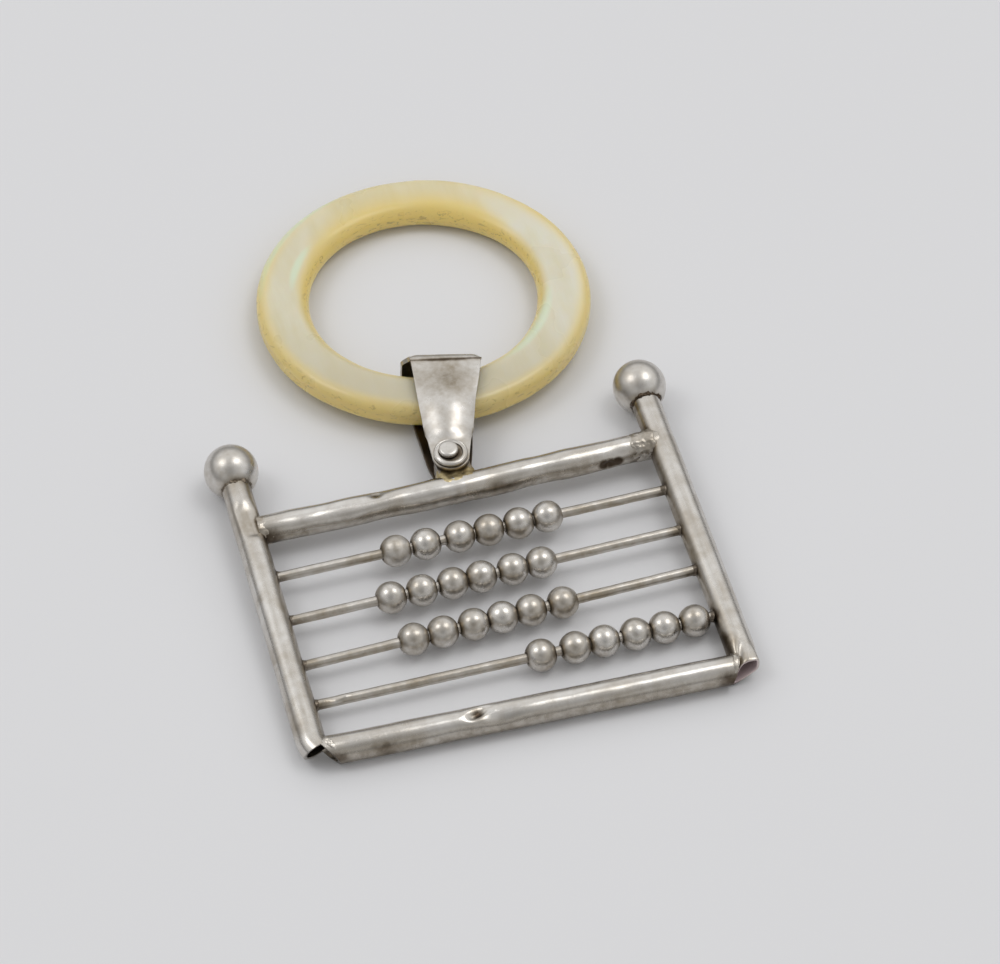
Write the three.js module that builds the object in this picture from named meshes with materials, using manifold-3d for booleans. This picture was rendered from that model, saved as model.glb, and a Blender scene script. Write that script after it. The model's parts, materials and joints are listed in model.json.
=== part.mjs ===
// A baby's abacus teether: a flat silver frame of four soldered tubes with two ball finials,
// four rods of loose beads across it, and a folded silver bail that carries a ring of
// mother-of-pearl. It lies on its back, as on a table, at its real size in millimetres.
import * as THREE from "three";
import { mergeVertices } from "three/addons/utils/BufferGeometryUtils.js";
import Module from "manifold-3d";

const wasm = await Module();
wasm.setup();

// Frame tubes
const tubeDiameter = 3.2;
const tubeWall = 0.35;
const frameSpan = 46.7; // between the axes of the two posts
const finialRise = 39.6; // from the axis of the bottom rail to the centres of the balls
const finialStand = 8.6; // from the axis of the top rail to the centres of the balls
const finialDiameter = 6.1;
const solderGap = 0.12; // the film of solder between two pieces that are joined
const postLean = 0.56; // degrees, both posts lean to the right
const topRailTilt = 0.7; // degrees, anticlockwise as seen from above
const bottomRailTilt = -1.4;
const topRailBow = 0.22; // how far the old top rail sags in its middle

// Lower ends of the posts
const hookAngle = 38; // degrees, the left post's end turns in towards the rail
const hookRadius = 3.4; // on the axis of the tube
const hookRise = 2.5; // where the turn starts, above the axis of the rail
const hookReach = 0.35; // straight length past the turn
const hookMitre = 20; // degrees, between the cut across the hook and a square cut
const crushLength = 4.2; // the right post's end is squeezed over this length
const crushTail = 1.25; // how far that end runs below the axis of the rail
const crushNarrowShare = 0.74; // width left at the mouth, as a share of the round tube
const crushSlantShare = 0.22; // sideways slant of the mouth, as a share of its height
const railMitre = 24; // degrees, the slant of the bottom rail's left end
const railOverrun = 0.5; // how far each end of the bottom rail reaches into the corner

// Rods and beads
const rodDiameter = 1.1;
const firstRodRise = 6.62; // axis of the lowest rod above the axis of the bottom rail
const lastRodDrop = 6.68; // axis of the highest rod below the axis of the top rail
const rodTilts = [0.2, 1.8, 1.2, 0.8]; // degrees, from the lowest rod up
const beadDiameter = 3.5;
const beadPlay = 0.12; // between a rod and the bore of a bead, all round
const beadLip = 0.13; // flat rim round the bore
const beadsPerRod = 6;

// Where the beads lie: the clear rod before each bead, as shares of the rod that no bead
// covers, from the left post, for each rod from the lowest up
const clearRodShares = [
  [0.928, 0.027, 0.004, 0.015, 0.004, 0.009],
  [0.42, 0.006, 0.012, 0.0035, 0.0035, 0.018],
  [0.382, 0.012, 0.013, 0.004, 0.016, 0.005],
  [0.465, 0.01, 0.027, 0.008, 0.01, 0.006],
];

// Bail, its lug and its rivet
const eyeLift = 1.4; // from the axis of the top rail up to the round end of the bail
const pinOffset = 0.47; // the rivet sits a little to the right of the middle
const pinDiameter = 1.4;
const pinHeadDiameter = 2.15;
const pinHeadHeight = 0.5;
const headSideShare = 0.45; // the upright side of the head, as a share of its height
const pinPlay = 0.09; // between the rivet and what it passes through, all round
const lugThickness = 2.4;
const lugWidth = 3.7;
const sheet = 0.5; // thickness of the bail's sheet
const legPlay = 0.12; // between the lug and each leg, and under each washer
const throatShare = 1.41; // length over which the legs open, as a share of the ring's height
const bailPinWidth = 4.1;
const bailFoldWidth = 7.8;
const mouthPlay = 1.2; // clear height that the ring leaves between the legs
const foldPlay = 0.1; // length from the bore of the ring to where the fold starts
const foldDepth = 1.6; // how far the fold reaches past the straight legs
const eyeStraight = 2.1; // length from the rivet over which the legs lie flat on the lug
const bailSag = 0.4; // how far the fold hangs down from the plane of the frame
const bailTurn = -12; // degrees, the front leg swung to the right of the frame's length
const foldSkew = 3.5; // degrees, the back leg is folded askew of the front one
const headPlay = 0.139; // clear gap between the head and the dish of the washer
const washerHeight = 0.55;
const washerFloor = 0.2; // thickness of the dished washer under the head
const washerRim = 0.32; // width of its crest
const washerSideShare = 0.6; // upright outer side, as a share of the washer's height
const washerBackShare = 0.9; // inner edge of the crest, as a share of the washer's height
const washerSlopeShare = 0.8; // how far the dish slopes in, as a share of the crest's width

// Ring of mother-of-pearl
const ringDiameter = 38.1;
const ringWidth = 5.95; // from its bore to its outer edge
const ringThickness = 3.3;
const ringEdge = 1.2; // radius of its worn edges
const ringTurn = -8.4; // degrees, the ring's centre to the right of the frame's length
const ringPlay = 0.36; // between the ring and the leg that carries it

// How finely round things are divided
const tubeSides = 24;
const rodSides = 12;
const ballSides = 24;
const ballRings = 14;
const beadSides = 14;
const beadRings = 6;
const ringSides = 48;
const edgeSteps = 2;
const railSteps = 8;
const endSteps = 6; // along the worked end of a post
const plainSteps = 3; // along the rest of it
const legSteps = 5;
const foldSteps = 10;
const acrossSteps = 4;
const eyeSteps = 12;

// Derived sizes
const tubeRadius = tubeDiameter / 2;
const tubeBore = tubeRadius - tubeWall;
const topRailRise = finialRise - finialStand; // axis of the top rail above the bottom rail's
const finialRadius = finialDiameter / 2;
const rodRadius = rodDiameter / 2;
const rodPitch = (topRailRise - firstRodRise - lastRodDrop) / (rodTilts.length - 1);
const lean = Math.asin((finialRadius - tubeRadius) / (finialRise + crushTail)); // balls and post ends rest
const pinRadius = pinDiameter / 2;
const pinHoleRadius = pinRadius + pinPlay;
const eyeRadius = bailPinWidth / 2;
const pinRise = eyeRadius + eyeLift; // axis of the rivet above the axis of the top rail
const legFloor = lugThickness / 2 + legPlay; // inner face of each leg at the lug
const bailMouth = ringThickness + mouthPlay; // clear height between the legs at the ring
const legMouth = bailMouth / 2;
const bailThroat = eyeStraight + throatShare * ringThickness; // from the rivet to the ring
const legBend = bailThroat + ringWidth + foldPlay; // from the rivet to where the fold starts
const bailLength = legBend + foldDepth + sheet / 2; // from the rivet to the outside of the fold
const ringRadius = ringDiameter / 2;
const ringReach = bailThroat + ringRadius; // from the rivet to the ring's centre
const washerSeat = legFloor + sheet + legPlay;
const cutSize = frameSpan; // one cutting block is larger than any piece
const weld = tubeDiameter / 1e5; // points closer than this are one point

const radians = THREE.MathUtils.degToRad;

// Colours of the worn silver and of the shell
const silver = (shade) =>
  new THREE.MeshStandardMaterial({ color: shade, roughness: 0.34, metalness: 1 });
const tubeSilver = 0xb4afa6;
const beadSilver = 0xa39d95;
const finialSilver = 0xb9b5ad;
const bailSilver = 0xb0aba2;
const pearl = 0xe6dfbd;

// A closed geometry as a solid that can be cut and joined
function solid(geometry) {
  const loose = geometry.index ? geometry.toNonIndexed() : geometry;
  const bare = new THREE.BufferGeometry();
  bare.setAttribute("position", loose.getAttribute("position"));
  const merged = mergeVertices(bare, weld);
  return new wasm.Manifold(
    new wasm.Mesh({
      numProp: 3,
      vertProperties: merged.attributes.position.array,
      triVerts: new Uint32Array(merged.index.array),
    }),
  );
}

// A solid back as a geometry, with one flat normal to each face
function geometryOf(body) {
  const { vertProperties, triVerts } = body.getMesh();
  const shared = new THREE.BufferGeometry();
  shared.setAttribute("position", new THREE.BufferAttribute(vertProperties, 3));
  shared.setIndex(new THREE.BufferAttribute(triVerts, 1));
  const faces = shared.toNonIndexed();
  faces.computeVertexNormals();
  return faces;
}

function named(name, geometry, material) {
  const mesh = new THREE.Mesh(geometry, material);
  mesh.name = name;
  return mesh;
}

// Move every point of a geometry, as a smith bends a finished blank
function reshape(geometry, move) {
  const place = geometry.getAttribute("position");
  const point = new THREE.Vector3();
  for (let i = 0; i < place.count; i += 1) {
    point.fromBufferAttribute(place, i);
    move(point);
    place.setXYZ(i, point.x, point.y, point.z);
  }
  return geometry;
}

// A turned blank along +Y: its outline is a list of [radius, height], closed on itself
function turned(outline, sides) {
  const profile = outline.map(([radius, height]) => new THREE.Vector2(radius, height));
  profile.push(profile[0].clone());
  return new THREE.LatheGeometry(profile, sides);
}

// An open tube along +Y with a ring of points at each height
function tube(heights, outer, inner, sides = tubeSides) {
  const outside = heights.map((height) => [outer, height]);
  const inside = [...heights].reverse().map((height) => [inner, height]);
  return turned([...outside, ...inside], sides);
}

// A solid bar along +Y with a ring of points at each height
function bar(heights, radius, sides = tubeSides) {
  const side = heights.map((height) => new THREE.Vector2(radius, height));
  const foot = new THREE.Vector2(0, heights[0]);
  const head = new THREE.Vector2(0, heights[heights.length - 1]);
  return new THREE.LatheGeometry([foot, ...side, head], sides);
}

// Evenly spaced heights from low to high
function spaced(low, high, count) {
  return Array.from({ length: count + 1 }, (_, i) => low + ((high - low) * i) / count);
}

// Cut away everything beyond a plane through a point, on the side its normal points to
function cutBeyond(body, point, normal) {
  const block = new THREE.BoxGeometry(cutSize, cutSize, cutSize);
  block.translate(0, 0, cutSize / 2);
  const facing = new THREE.Quaternion().setFromUnitVectors(
    new THREE.Vector3(0, 0, 1),
    normal.clone().normalize(),
  );
  block.applyQuaternion(facing);
  block.translate(point.x, point.y, point.z);
  return body.subtract(solid(block));
}

// Posts: their axes lean, their lower ends are hooked or crushed
const postTop = finialRise - Math.sqrt(finialRadius ** 2 - tubeBore ** 2) - solderGap;
const postSlope = Math.tan(radians(postLean));

function placePost(geometry, side) {
  return reshape(geometry, (p) => {
    p.x += (side * frameSpan) / 2 + p.y * postSlope;
  });
}

const hookTurn = radians(hookAngle);
const hookFoot = hookRise - hookRadius * hookTurn - hookReach;

function bendHook(geometry) {
  return reshape(geometry, (p) => {
    const past = hookRise - p.y;
    if (past <= 0) return;
    const turn = Math.min(past / hookRadius, hookTurn);
    const straight = past - turn * hookRadius;
    const arm = hookRadius - p.x;
    p.x = hookRadius - arm * Math.cos(turn) + straight * Math.sin(turn);
    p.y = hookRise - arm * Math.sin(turn) - straight * Math.cos(turn);
  });
}

const crushTop = crushLength - crushTail;

function crush(geometry) {
  return reshape(geometry, (p) => {
    const amount = THREE.MathUtils.smoothstep(crushTop - p.y, 0, crushLength);
    const narrow = THREE.MathUtils.lerp(1, crushNarrowShare, amount);
    p.x = p.x * narrow + p.z * crushSlantShare * amount;
  });
}

// Rings of points close together along a worked end and far apart above it
function postHeights(foot, change) {
  return [...spaced(foot, change, endSteps), ...spaced(change, postTop, plainSteps).slice(1)];
}

const hookHeights = postHeights(hookFoot, hookRise);
const crushHeights = postHeights(-crushTail, crushTop);

function hookedPost(makeBlank) {
  return placePost(bendHook(makeBlank(hookHeights)), -1);
}

function crushedPost(makeBlank) {
  return placePost(crush(makeBlank(crushHeights)), 1);
}

const blankTube = (heights) => tube(heights, tubeRadius, tubeBore);
const clearBar = (heights) => bar([heights[0] - solderGap, ...heights], tubeRadius + solderGap);

function leftPost() {
  const mouth = new THREE.Vector3(
    -frameSpan / 2 + hookRadius * (1 - Math.cos(hookTurn)) + hookReach * Math.sin(hookTurn),
    hookRise - hookRadius * Math.sin(hookTurn) - hookReach * Math.cos(hookTurn),
    0,
  );
  const facing = hookTurn + radians(hookMitre);
  const normal = new THREE.Vector3(Math.sin(facing), -Math.cos(facing), 0);
  return cutBeyond(solid(hookedPost(blankTube)), mouth, normal);
}

const leftPostRoom = solid(hookedPost(clearBar));
const rightPostRoom = solid(crushedPost(clearBar));

// Rails: tubes along +X, turned so that one long facet of the bottom rail lies on the table
function rail(rise, tilt, bow) {
  const blank = tube(spaced(-frameSpan / 2, frameSpan / 2, railSteps), tubeRadius, tubeBore);
  const halfFacet = Math.PI / tubeSides;
  blank.rotateY(halfFacet);
  blank.rotateZ(-Math.PI / 2);
  blank.rotateX(-lean);
  reshape(blank, (p) => {
    const fromMiddle = (2 * p.x) / frameSpan;
    p.y -= bow * (1 - fromMiddle ** 2);
  });
  blank.rotateZ(radians(tilt));
  blank.translate(0, rise, 0);
  return solid(blank);
}

function topRail() {
  return rail(topRailRise, topRailTilt, topRailBow)
    .subtract(leftPostRoom)
    .subtract(rightPostRoom);
}

function bottomRail() {
  const corner = frameSpan / 2 - tubeRadius + railOverrun;
  const slant = radians(railMitre);
  const leftNormal = new THREE.Vector3(-Math.cos(slant), -Math.sin(slant), 0);
  const whole = rail(0, bottomRailTilt, 0);
  const mitred = cutBeyond(whole, new THREE.Vector3(-corner, 0, 0), leftNormal);
  const squared = cutBeyond(mitred, new THREE.Vector3(corner, 0, 0), new THREE.Vector3(1, 0, 0));
  return squared.subtract(leftPostRoom).subtract(rightPostRoom);
}

function finial(side) {
  const ball = new THREE.SphereGeometry(finialRadius, ballSides, ballRings);
  ball.translate(0, finialRise, 0);
  return placePost(ball, side);
}

// One rod and its row of beads. The row's own x runs along the rod from its middle.
const beadRadius = beadDiameter / 2;
const beadBore = rodRadius + beadPlay;
const beadFlat = beadBore + beadLip;
const beadLength = 2 * Math.sqrt(beadRadius ** 2 - beadFlat ** 2);
const clearRod = frameSpan - 2 * (tubeRadius + solderGap);
const looseRod = clearRod - beadsPerRod * beadLength;

function beadGeometry() {
  const half = Math.asin(beadLength / beadDiameter);
  const outside = spaced(-half, half, beadRings).map((angle) => [
    beadRadius * Math.cos(angle),
    beadRadius * Math.sin(angle),
  ]);
  const bore = [
    [beadBore, beadLength / 2],
    [beadBore, -beadLength / 2],
  ];
  return turned([...outside, ...bore], beadSides).rotateZ(-Math.PI / 2);
}

function rodRow(index) {
  const row = new THREE.Group();
  const rise = firstRodRise + index * rodPitch;
  row.position.set(rise * postSlope, rise, 0);
  row.rotation.z = radians(rodTilts[index]);
  const rod = new THREE.CylinderGeometry(rodRadius, rodRadius, clearRod, rodSides);
  row.add(named(`bead_rod_${index + 1}`, rod.rotateZ(-Math.PI / 2), silver(tubeSilver)));
  let edge = -clearRod / 2;
  for (let k = 0; k < beadsPerRod; k += 1) {
    edge += clearRodShares[index][k] * looseRod;
    const bead = named(`bead_${index + 1}_${k + 1}`, beadGeometry(), silver(beadSilver));
    bead.position.x = edge + beadLength / 2;
    row.add(bead);
    edge += beadLength;
  }
  return row;
}

// The lug: an upright plate with a round eye, soldered astride the top rail
const pinHeight = topRailRise + pinRise - topRailBow;

function pinHole(length) {
  const hole = new THREE.CylinderGeometry(pinHoleRadius, pinHoleRadius, length, tubeSides);
  return solid(hole.rotateX(Math.PI / 2));
}

function lug() {
  const half = lugWidth / 2;
  const outline = new THREE.Shape();
  outline.moveTo(-half, -pinRise);
  outline.lineTo(half, -pinRise);
  outline.lineTo(half, 0);
  outline.absarc(0, 0, half, 0, Math.PI, false);
  outline.closePath();
  const plate = new THREE.ExtrudeGeometry(outline, {
    depth: lugThickness,
    bevelEnabled: false,
    curveSegments: eyeSteps,
  });
  plate.translate(0, 0, -lugThickness / 2);
  const saddle = bar([-lugWidth, lugWidth], tubeRadius + solderGap).rotateZ(-Math.PI / 2);
  saddle.translate(0, -pinRise, 0);
  return solid(plate).subtract(solid(saddle)).subtract(pinHole(lugThickness * 2));
}

// The rivet: a shank with a low domed head at each end, along z
function rivet() {
  const neck = washerSeat + washerFloor + legPlay;
  const headRadius = pinHeadDiameter / 2;
  const dome = spaced(0, Math.PI / 2, edgeSteps).map((angle) => [
    headRadius * Math.cos(angle),
    neck + pinHeadHeight * THREE.MathUtils.lerp(headSideShare, 1, Math.sin(angle)),
  ]);
  const upper = [[pinRadius, neck], [headRadius, neck], ...dome];
  const lower = upper.map(([radius, height]) => [radius, -height]).reverse();
  const points = [...lower, ...upper].map(([radius, height]) => new THREE.Vector2(radius, height));
  points[0].x = 0;
  points[points.length - 1].x = 0;
  return new THREE.LatheGeometry(points, tubeSides).rotateX(Math.PI / 2);
}

// A dished washer: its crest stands round the rivet's head
function washer(face) {
  const foot = pinHeadDiameter / 2 + headPlay;
  const inside = foot + washerRim * washerSlopeShare;
  const crest = inside + washerRim;
  const outer = crest + washerRim / 2;
  const outline = [
    [pinHoleRadius, 0],
    [outer, 0],
    [outer, washerHeight * washerSideShare],
    [crest, washerHeight],
    [inside, washerHeight * washerBackShare],
    [foot, washerFloor],
    [pinHoleRadius, washerFloor],
  ];
  const dish = turned(outline, tubeSides).rotateX(Math.PI / 2);
  dish.translate(0, 0, washerSeat);
  return face < 0 ? dish.rotateY(Math.PI) : dish;
}

// The bail's sheet seen from the side: how far its middle line stands off at a place on a leg,
// where face is 1 on the front leg and -1 on the back one
function legLine(along, face) {
  const low = legFloor + sheet / 2;
  const high = legMouth + sheet / 2;
  const rise = THREE.MathUtils.smoothstep(along, eyeStraight, legBend);
  return new THREE.Vector2(along, face * THREE.MathUtils.lerp(low, high, rise) - bailSag * rise);
}

// Middle line of the folded sheet, from the front leg's eye round the fold to the back one
function foldedLine() {
  const places = [0, ...spaced(eyeStraight, legBend, legSteps)];
  const high = legMouth + sheet / 2;
  const fold = spaced(0, Math.PI, foldSteps).slice(1, -1).map(
    (turn) =>
      new THREE.Vector2(legBend + foldDepth * Math.sin(turn), high * Math.cos(turn) - bailSag),
  );
  const front = places.map((along) => legLine(along, 1));
  const back = [...places].reverse().map((along) => legLine(along, -1));
  return [...front, ...fold, ...back];
}

function bailWidth(along) {
  return THREE.MathUtils.lerp(bailPinWidth, bailFoldWidth, along / bailLength);
}

// The flat blank of the bail, folded round the ring: x across, y along, z through
function bailSheet() {
  const line = foldedLine();
  const blank = new THREE.BoxGeometry(1, line.length - 1, 1, acrossSteps, line.length - 1, 1);
  blank.translate(0, (line.length - 1) / 2, 0);
  const skew = Math.tan(radians(foldSkew));
  reshape(blank, (p) => {
    const step = Math.round(p.y);
    const here = line[step];
    const before = line[Math.max(step - 1, 0)];
    const after = line[Math.min(step + 1, line.length - 1)];
    const outward = new THREE.Vector2(before.y - after.y, after.x - before.x).normalize();
    const backShare = THREE.MathUtils.smoothstep(-here.y, -legMouth, legMouth);
    const across = p.x * bailWidth(here.x) - backShare * skew * here.x;
    const through = p.z * sheet;
    p.set(across, here.x + outward.x * through, here.y + outward.y * through);
  });
  return solid(blank);
}

function bail() {
  const eyes = [1, -1].map((face) => {
    const eye = new THREE.CylinderGeometry(eyeRadius, eyeRadius, sheet, tubeSides);
    eye.rotateX(Math.PI / 2);
    eye.translate(0, 0, face * (legFloor + sheet / 2));
    return solid(eye);
  });
  return bailSheet()
    .add(eyes[0])
    .add(eyes[1])
    .subtract(pinHole(bailMouth * 2));
}

// The ring: a flat band of shell with worn, rounded edges, round its own +Z
function pearlRing() {
  const inner = ringRadius - ringWidth;
  const half = ringThickness / 2;
  const corners = [
    [ringRadius - ringEdge, -half + ringEdge, -Math.PI / 2],
    [ringRadius - ringEdge, half - ringEdge, 0],
    [inner + ringEdge, half - ringEdge, Math.PI / 2],
    [inner + ringEdge, -half + ringEdge, Math.PI],
  ];
  const outline = corners.flatMap(([radius, height, start]) =>
    spaced(start, start + Math.PI / 2, edgeSteps).map((angle) => [
      radius + ringEdge * Math.cos(angle),
      height + ringEdge * Math.sin(angle),
    ]),
  );
  return turned(outline, ringSides).rotateX(Math.PI / 2);
}

// Assembly: the frame group's x runs along the rails, y up the posts and z off the table
const frame = new THREE.Group();
frame.rotation.x = lean;
frame.add(
  named("left_post", geometryOf(leftPost()), silver(tubeSilver)),
  named("right_post", geometryOf(solid(crushedPost(blankTube))), silver(tubeSilver)),
  named("top_rail", geometryOf(topRail()), silver(tubeSilver)),
  named("bottom_rail", geometryOf(bottomRail()), silver(tubeSilver)),
  named("left_finial", finial(-1), silver(finialSilver)),
  named("right_finial", finial(1), silver(finialSilver)),
);
for (let index = 0; index < rodTilts.length; index += 1) {
  frame.add(rodRow(index));
}

const pinPlace = new THREE.Group();
pinPlace.name = "bail_pivot";
pinPlace.position.set(pinOffset, pinHeight, 0);
pinPlace.add(
  named("bail_lug", geometryOf(lug()), silver(tubeSilver)),
  named("bail_pin", rivet(), silver(finialSilver)),
);
frame.add(pinPlace);

const bailGroup = new THREE.Group();
bailGroup.rotation.z = radians(bailTurn);
bailGroup.add(
  named("bail_strap", geometryOf(bail()), silver(bailSilver)),
  named("front_washer", washer(1), silver(bailSilver)),
  named("back_washer", washer(-1), silver(bailSilver)),
);
pinPlace.add(bailGroup);

// The ring leans: its far edge is on the table and its near side on the bail's back leg.
// The table touches both balls and the crushed end of the right post.
const table = -tubeRadius * Math.cos(lean) - crushTail * Math.sin(lean);
const alongFrame = pinHeight + legBend * Math.cos(radians(ringTurn));
const legDrop = legMouth + bailSag; // from the plane of the frame down to the back leg
const legHeight = alongFrame * Math.sin(lean) - legDrop * Math.cos(lean) - table;
const farEdge = ringReach + ringRadius - ringEdge;
const ringTilt = Math.atan((legHeight + ringPlay) / (farEdge - legBend));

const ringGroup = new THREE.Group();
ringGroup.name = "ring_axis";
const heading = radians(ringTurn);
const pinOnTable = new THREE.Vector3(
  pinOffset,
  pinHeight * Math.cos(lean) - (legFloor - legMouth) * Math.sin(lean),
  table,
);
ringGroup.position.set(
  pinOnTable.x - Math.sin(heading) * farEdge,
  pinOnTable.y + Math.cos(heading) * farEdge,
  pinOnTable.z + ringEdge,
);
ringGroup.rotation.order = "ZXY";
ringGroup.rotation.set(-ringTilt, 0, heading);
const ring = named(
  "pearl_ring",
  pearlRing(),
  new THREE.MeshStandardMaterial({ color: pearl, roughness: 0.3, metalness: 0 }),
);
ring.position.set(0, ringEdge - ringRadius, ringThickness / 2 - ringEdge);
ringGroup.add(ring);

// The whole object, with its origin under the middle of its own bounding box
const model = new THREE.Group();
model.add(frame, ringGroup);
const box = new THREE.Box3().setFromObject(model, true);
const middle = box.getCenter(new THREE.Vector3());
model.position.set(-middle.x, -middle.y, -box.min.z);

export default model;
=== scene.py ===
# %% [markdown]
# # A baby's abacus teether in worn silver and mother-of-pearl
#
# The real object is a teether of about 1900. Four soldered silver tubes make a flat frame, a
# hollow ball closes the upper end of each post, and four rods carry six loose beads each. A
# folded silver bail swings on a rivet and holds a ring of mother-of-pearl.
#
# The exact model already stands in the scene as a fixed frame, so this script measures places
# from it and builds a finer skin over each piece. All of it is worked out in millimetres on
# the plane of the frame, and only the last step turns that into metres.

# %% Load the fixed frame
import json
import math

import bmesh
import bpy
from mathutils import Matrix, Vector, noise


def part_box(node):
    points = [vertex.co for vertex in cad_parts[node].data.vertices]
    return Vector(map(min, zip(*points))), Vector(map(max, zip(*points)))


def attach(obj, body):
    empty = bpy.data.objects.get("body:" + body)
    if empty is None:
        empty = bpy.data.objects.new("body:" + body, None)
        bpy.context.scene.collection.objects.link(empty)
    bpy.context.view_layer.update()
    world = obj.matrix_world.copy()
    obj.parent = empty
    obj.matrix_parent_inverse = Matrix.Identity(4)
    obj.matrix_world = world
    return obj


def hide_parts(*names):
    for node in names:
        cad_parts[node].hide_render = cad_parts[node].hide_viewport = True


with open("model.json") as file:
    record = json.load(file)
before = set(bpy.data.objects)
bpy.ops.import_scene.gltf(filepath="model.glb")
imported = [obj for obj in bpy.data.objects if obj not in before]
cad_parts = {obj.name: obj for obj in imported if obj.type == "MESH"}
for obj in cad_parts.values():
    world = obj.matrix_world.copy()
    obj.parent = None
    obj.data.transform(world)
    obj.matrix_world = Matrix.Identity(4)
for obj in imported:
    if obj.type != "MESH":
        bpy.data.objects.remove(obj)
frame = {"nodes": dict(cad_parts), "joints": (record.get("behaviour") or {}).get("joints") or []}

MM = 0.001
scene = bpy.context.scene
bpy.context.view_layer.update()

# %% [markdown]
# ## The plane of the frame
#
# The frame leans, because its balls are thicker than its tubes: it rests on the balls and on
# the bottom rail. Modelling on a leaning plane is easier when the plane has its own axes, so
# this cell finds them. On that plane u runs along the rails, v runs up the posts and w points
# off the table.

# %% Axes of the leaning plane
FIRST_ROD_RISE = 6.62  # the lowest rod stands this far above the axis of the bottom rail


def centre(node):
    low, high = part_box(node)
    return (low + high) / 2


left_ball_centre = centre("left_finial")
right_ball_centre = centre("right_finial")
first_rod = centre("bead_rod_1")
climb = (left_ball_centre + right_ball_centre) / 2 - first_rod
lean = math.atan2(climb.z, climb.y)
post_slope = climb.x / math.hypot(climb.y, climb.z)
up_the_posts = Vector((post_slope, math.cos(lean), math.sin(lean)))
plane_origin = first_rod - FIRST_ROD_RISE * MM * up_the_posts
plane = Matrix.Translation(plane_origin) @ Matrix.Rotation(lean, 4, "X") @ Matrix.Scale(MM, 4)
to_plane = plane.inverted()
print("the frame leans", round(math.degrees(lean), 3), "degrees")

# %% Sizes read from the frame, in millimetres
ball_low, ball_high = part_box("left_finial")
ball_radius = (ball_high.x - ball_low.x) / 2 / MM
left_ball = to_plane @ left_ball_centre
right_ball = to_plane @ right_ball_centre
frame_span = right_ball.x - left_ball.x
half_span = frame_span / 2
finial_rise = left_ball.y
print("ball radius", round(ball_radius, 3), "span", round(frame_span, 3))

TUBE_RADIUS = 1.6
TUBE_WALL = 0.35
# The axis of each rail: the mean rise of its ends, its tilt, and how far its middle sags
TOP_RAIL_LINE = (31.0, math.radians(0.7), 0.22)
BOTTOM_RAIL_LINE = (0, math.radians(-1.4), 0)

# %% [markdown]
# ## Turning, placing and finishing a piece
#
# Nearly everything here was made on a lathe or drawn through a plate, so most pieces start as
# an outline that is spun about an axis. After that a piece is bent, dented and placed by
# moving its points, as a smith works a blank. One function ends every piece: it writes how
# dark each point is, for dirt and for painted shade, puts the mesh in its place in metres and
# lets it ride on its body.

# %% Helpers for shapes
def spin_outline(outline, steps):
    """Turn a closed outline of (radius, height) points once round the Y axis."""
    bm = bmesh.new()
    points = [bm.verts.new((radius, height, 0)) for radius, height in outline]
    for one, other in zip(points, points[1:] + points[:1]):
        bm.edges.new((one, other))
    bmesh.ops.spin(
        bm, geom=bm.verts[:] + bm.edges[:], cent=(0, 0, 0), axis=(0, 1, 0), dvec=(0, 0, 0),
        angle=math.tau, steps=steps, use_merge=True, use_normal_flip=False, use_duplicate=False,
    )
    bmesh.ops.remove_doubles(bm, verts=bm.verts[:], dist=1e-5)
    bmesh.ops.recalc_face_normals(bm, faces=bm.faces[:])
    return bm


def slice_at(bm, spot, normal, clear=True):
    """Cut straight through, and clear away what lies on the side of the normal."""
    bmesh.ops.bisect_plane(
        bm, geom=bm.verts[:] + bm.edges[:] + bm.faces[:], dist=1e-4,
        plane_co=spot, plane_no=normal, clear_outer=clear,
    )


def spread(low, high, count):
    return [low + (high - low) * i / count for i in range(count + 1)]


def smooth_step(value, low, high):
    share = min(max((value - low) / (high - low), 0), 1)
    return share * share * (3 - 2 * share)


def blend(one, other, share):
    return one + (other - one) * share


def move_points(bm, move):
    for v in bm.verts:
        v.co = move(v.co)
    return bm


def waver(bm, size, amount, seed):
    """Uneven old metal: push each point along its normal by a slow noise."""
    bm.normal_update()
    shift = Vector((seed, -seed, 2 * seed))
    offsets = [noise.noise((v.co + shift) / size) * amount for v in bm.verts]
    normals = [v.normal.copy() for v in bm.verts]
    for v, offset, normal in zip(bm.verts, offsets, normals):
        v.co += normal * offset


def press(bm, spot, width, length, depth, heading=0, push=(0, 0, -1)):
    """A knock: push the metal in round a spot, along a line turned by heading in degrees.
    A depth below 0 raises it."""
    heading = math.radians(heading)
    along = Vector((math.cos(heading), math.sin(heading), 0))
    push = Vector(push).normalized()
    for v in bm.verts:
        offset = v.co - Vector(spot)
        run = offset.dot(along) / length
        side = (offset - along * offset.dot(along)).length / width
        v.co += push * depth * math.exp(-(run * run + side * side))


# %% Helpers that use modifiers on a scratch object
def scratch_object(bm, name="scratch"):
    mesh = bpy.data.meshes.new(name)
    bm.to_mesh(mesh)
    bm.free()
    thing = bpy.data.objects.new(name, mesh)
    scene.collection.objects.link(thing)
    return thing


def take_result(thing):
    """The mesh of a scratch object with its modifiers applied, as a bmesh."""
    graph = bpy.context.evaluated_depsgraph_get()
    result = bpy.data.meshes.new_from_object(thing.evaluated_get(graph))
    bm = bmesh.new()
    bm.from_mesh(result)
    bpy.data.meshes.remove(result)
    bpy.data.objects.remove(thing)
    return bm


def cut_by(bm, cutter):
    """Take the shape of one bmesh out of another."""
    body = scratch_object(bm)
    tool = scratch_object(cutter, "tool")
    boolean = body.modifiers.new("cut", "BOOLEAN")
    boolean.operation = "DIFFERENCE"
    boolean.solver = "MANIFOLD"
    boolean.object = tool
    result = take_result(body)
    bpy.data.objects.remove(tool)
    return result


# %% The function that ends every piece
SHARP_EDGE = math.radians(38)
pieces_made = []


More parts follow.
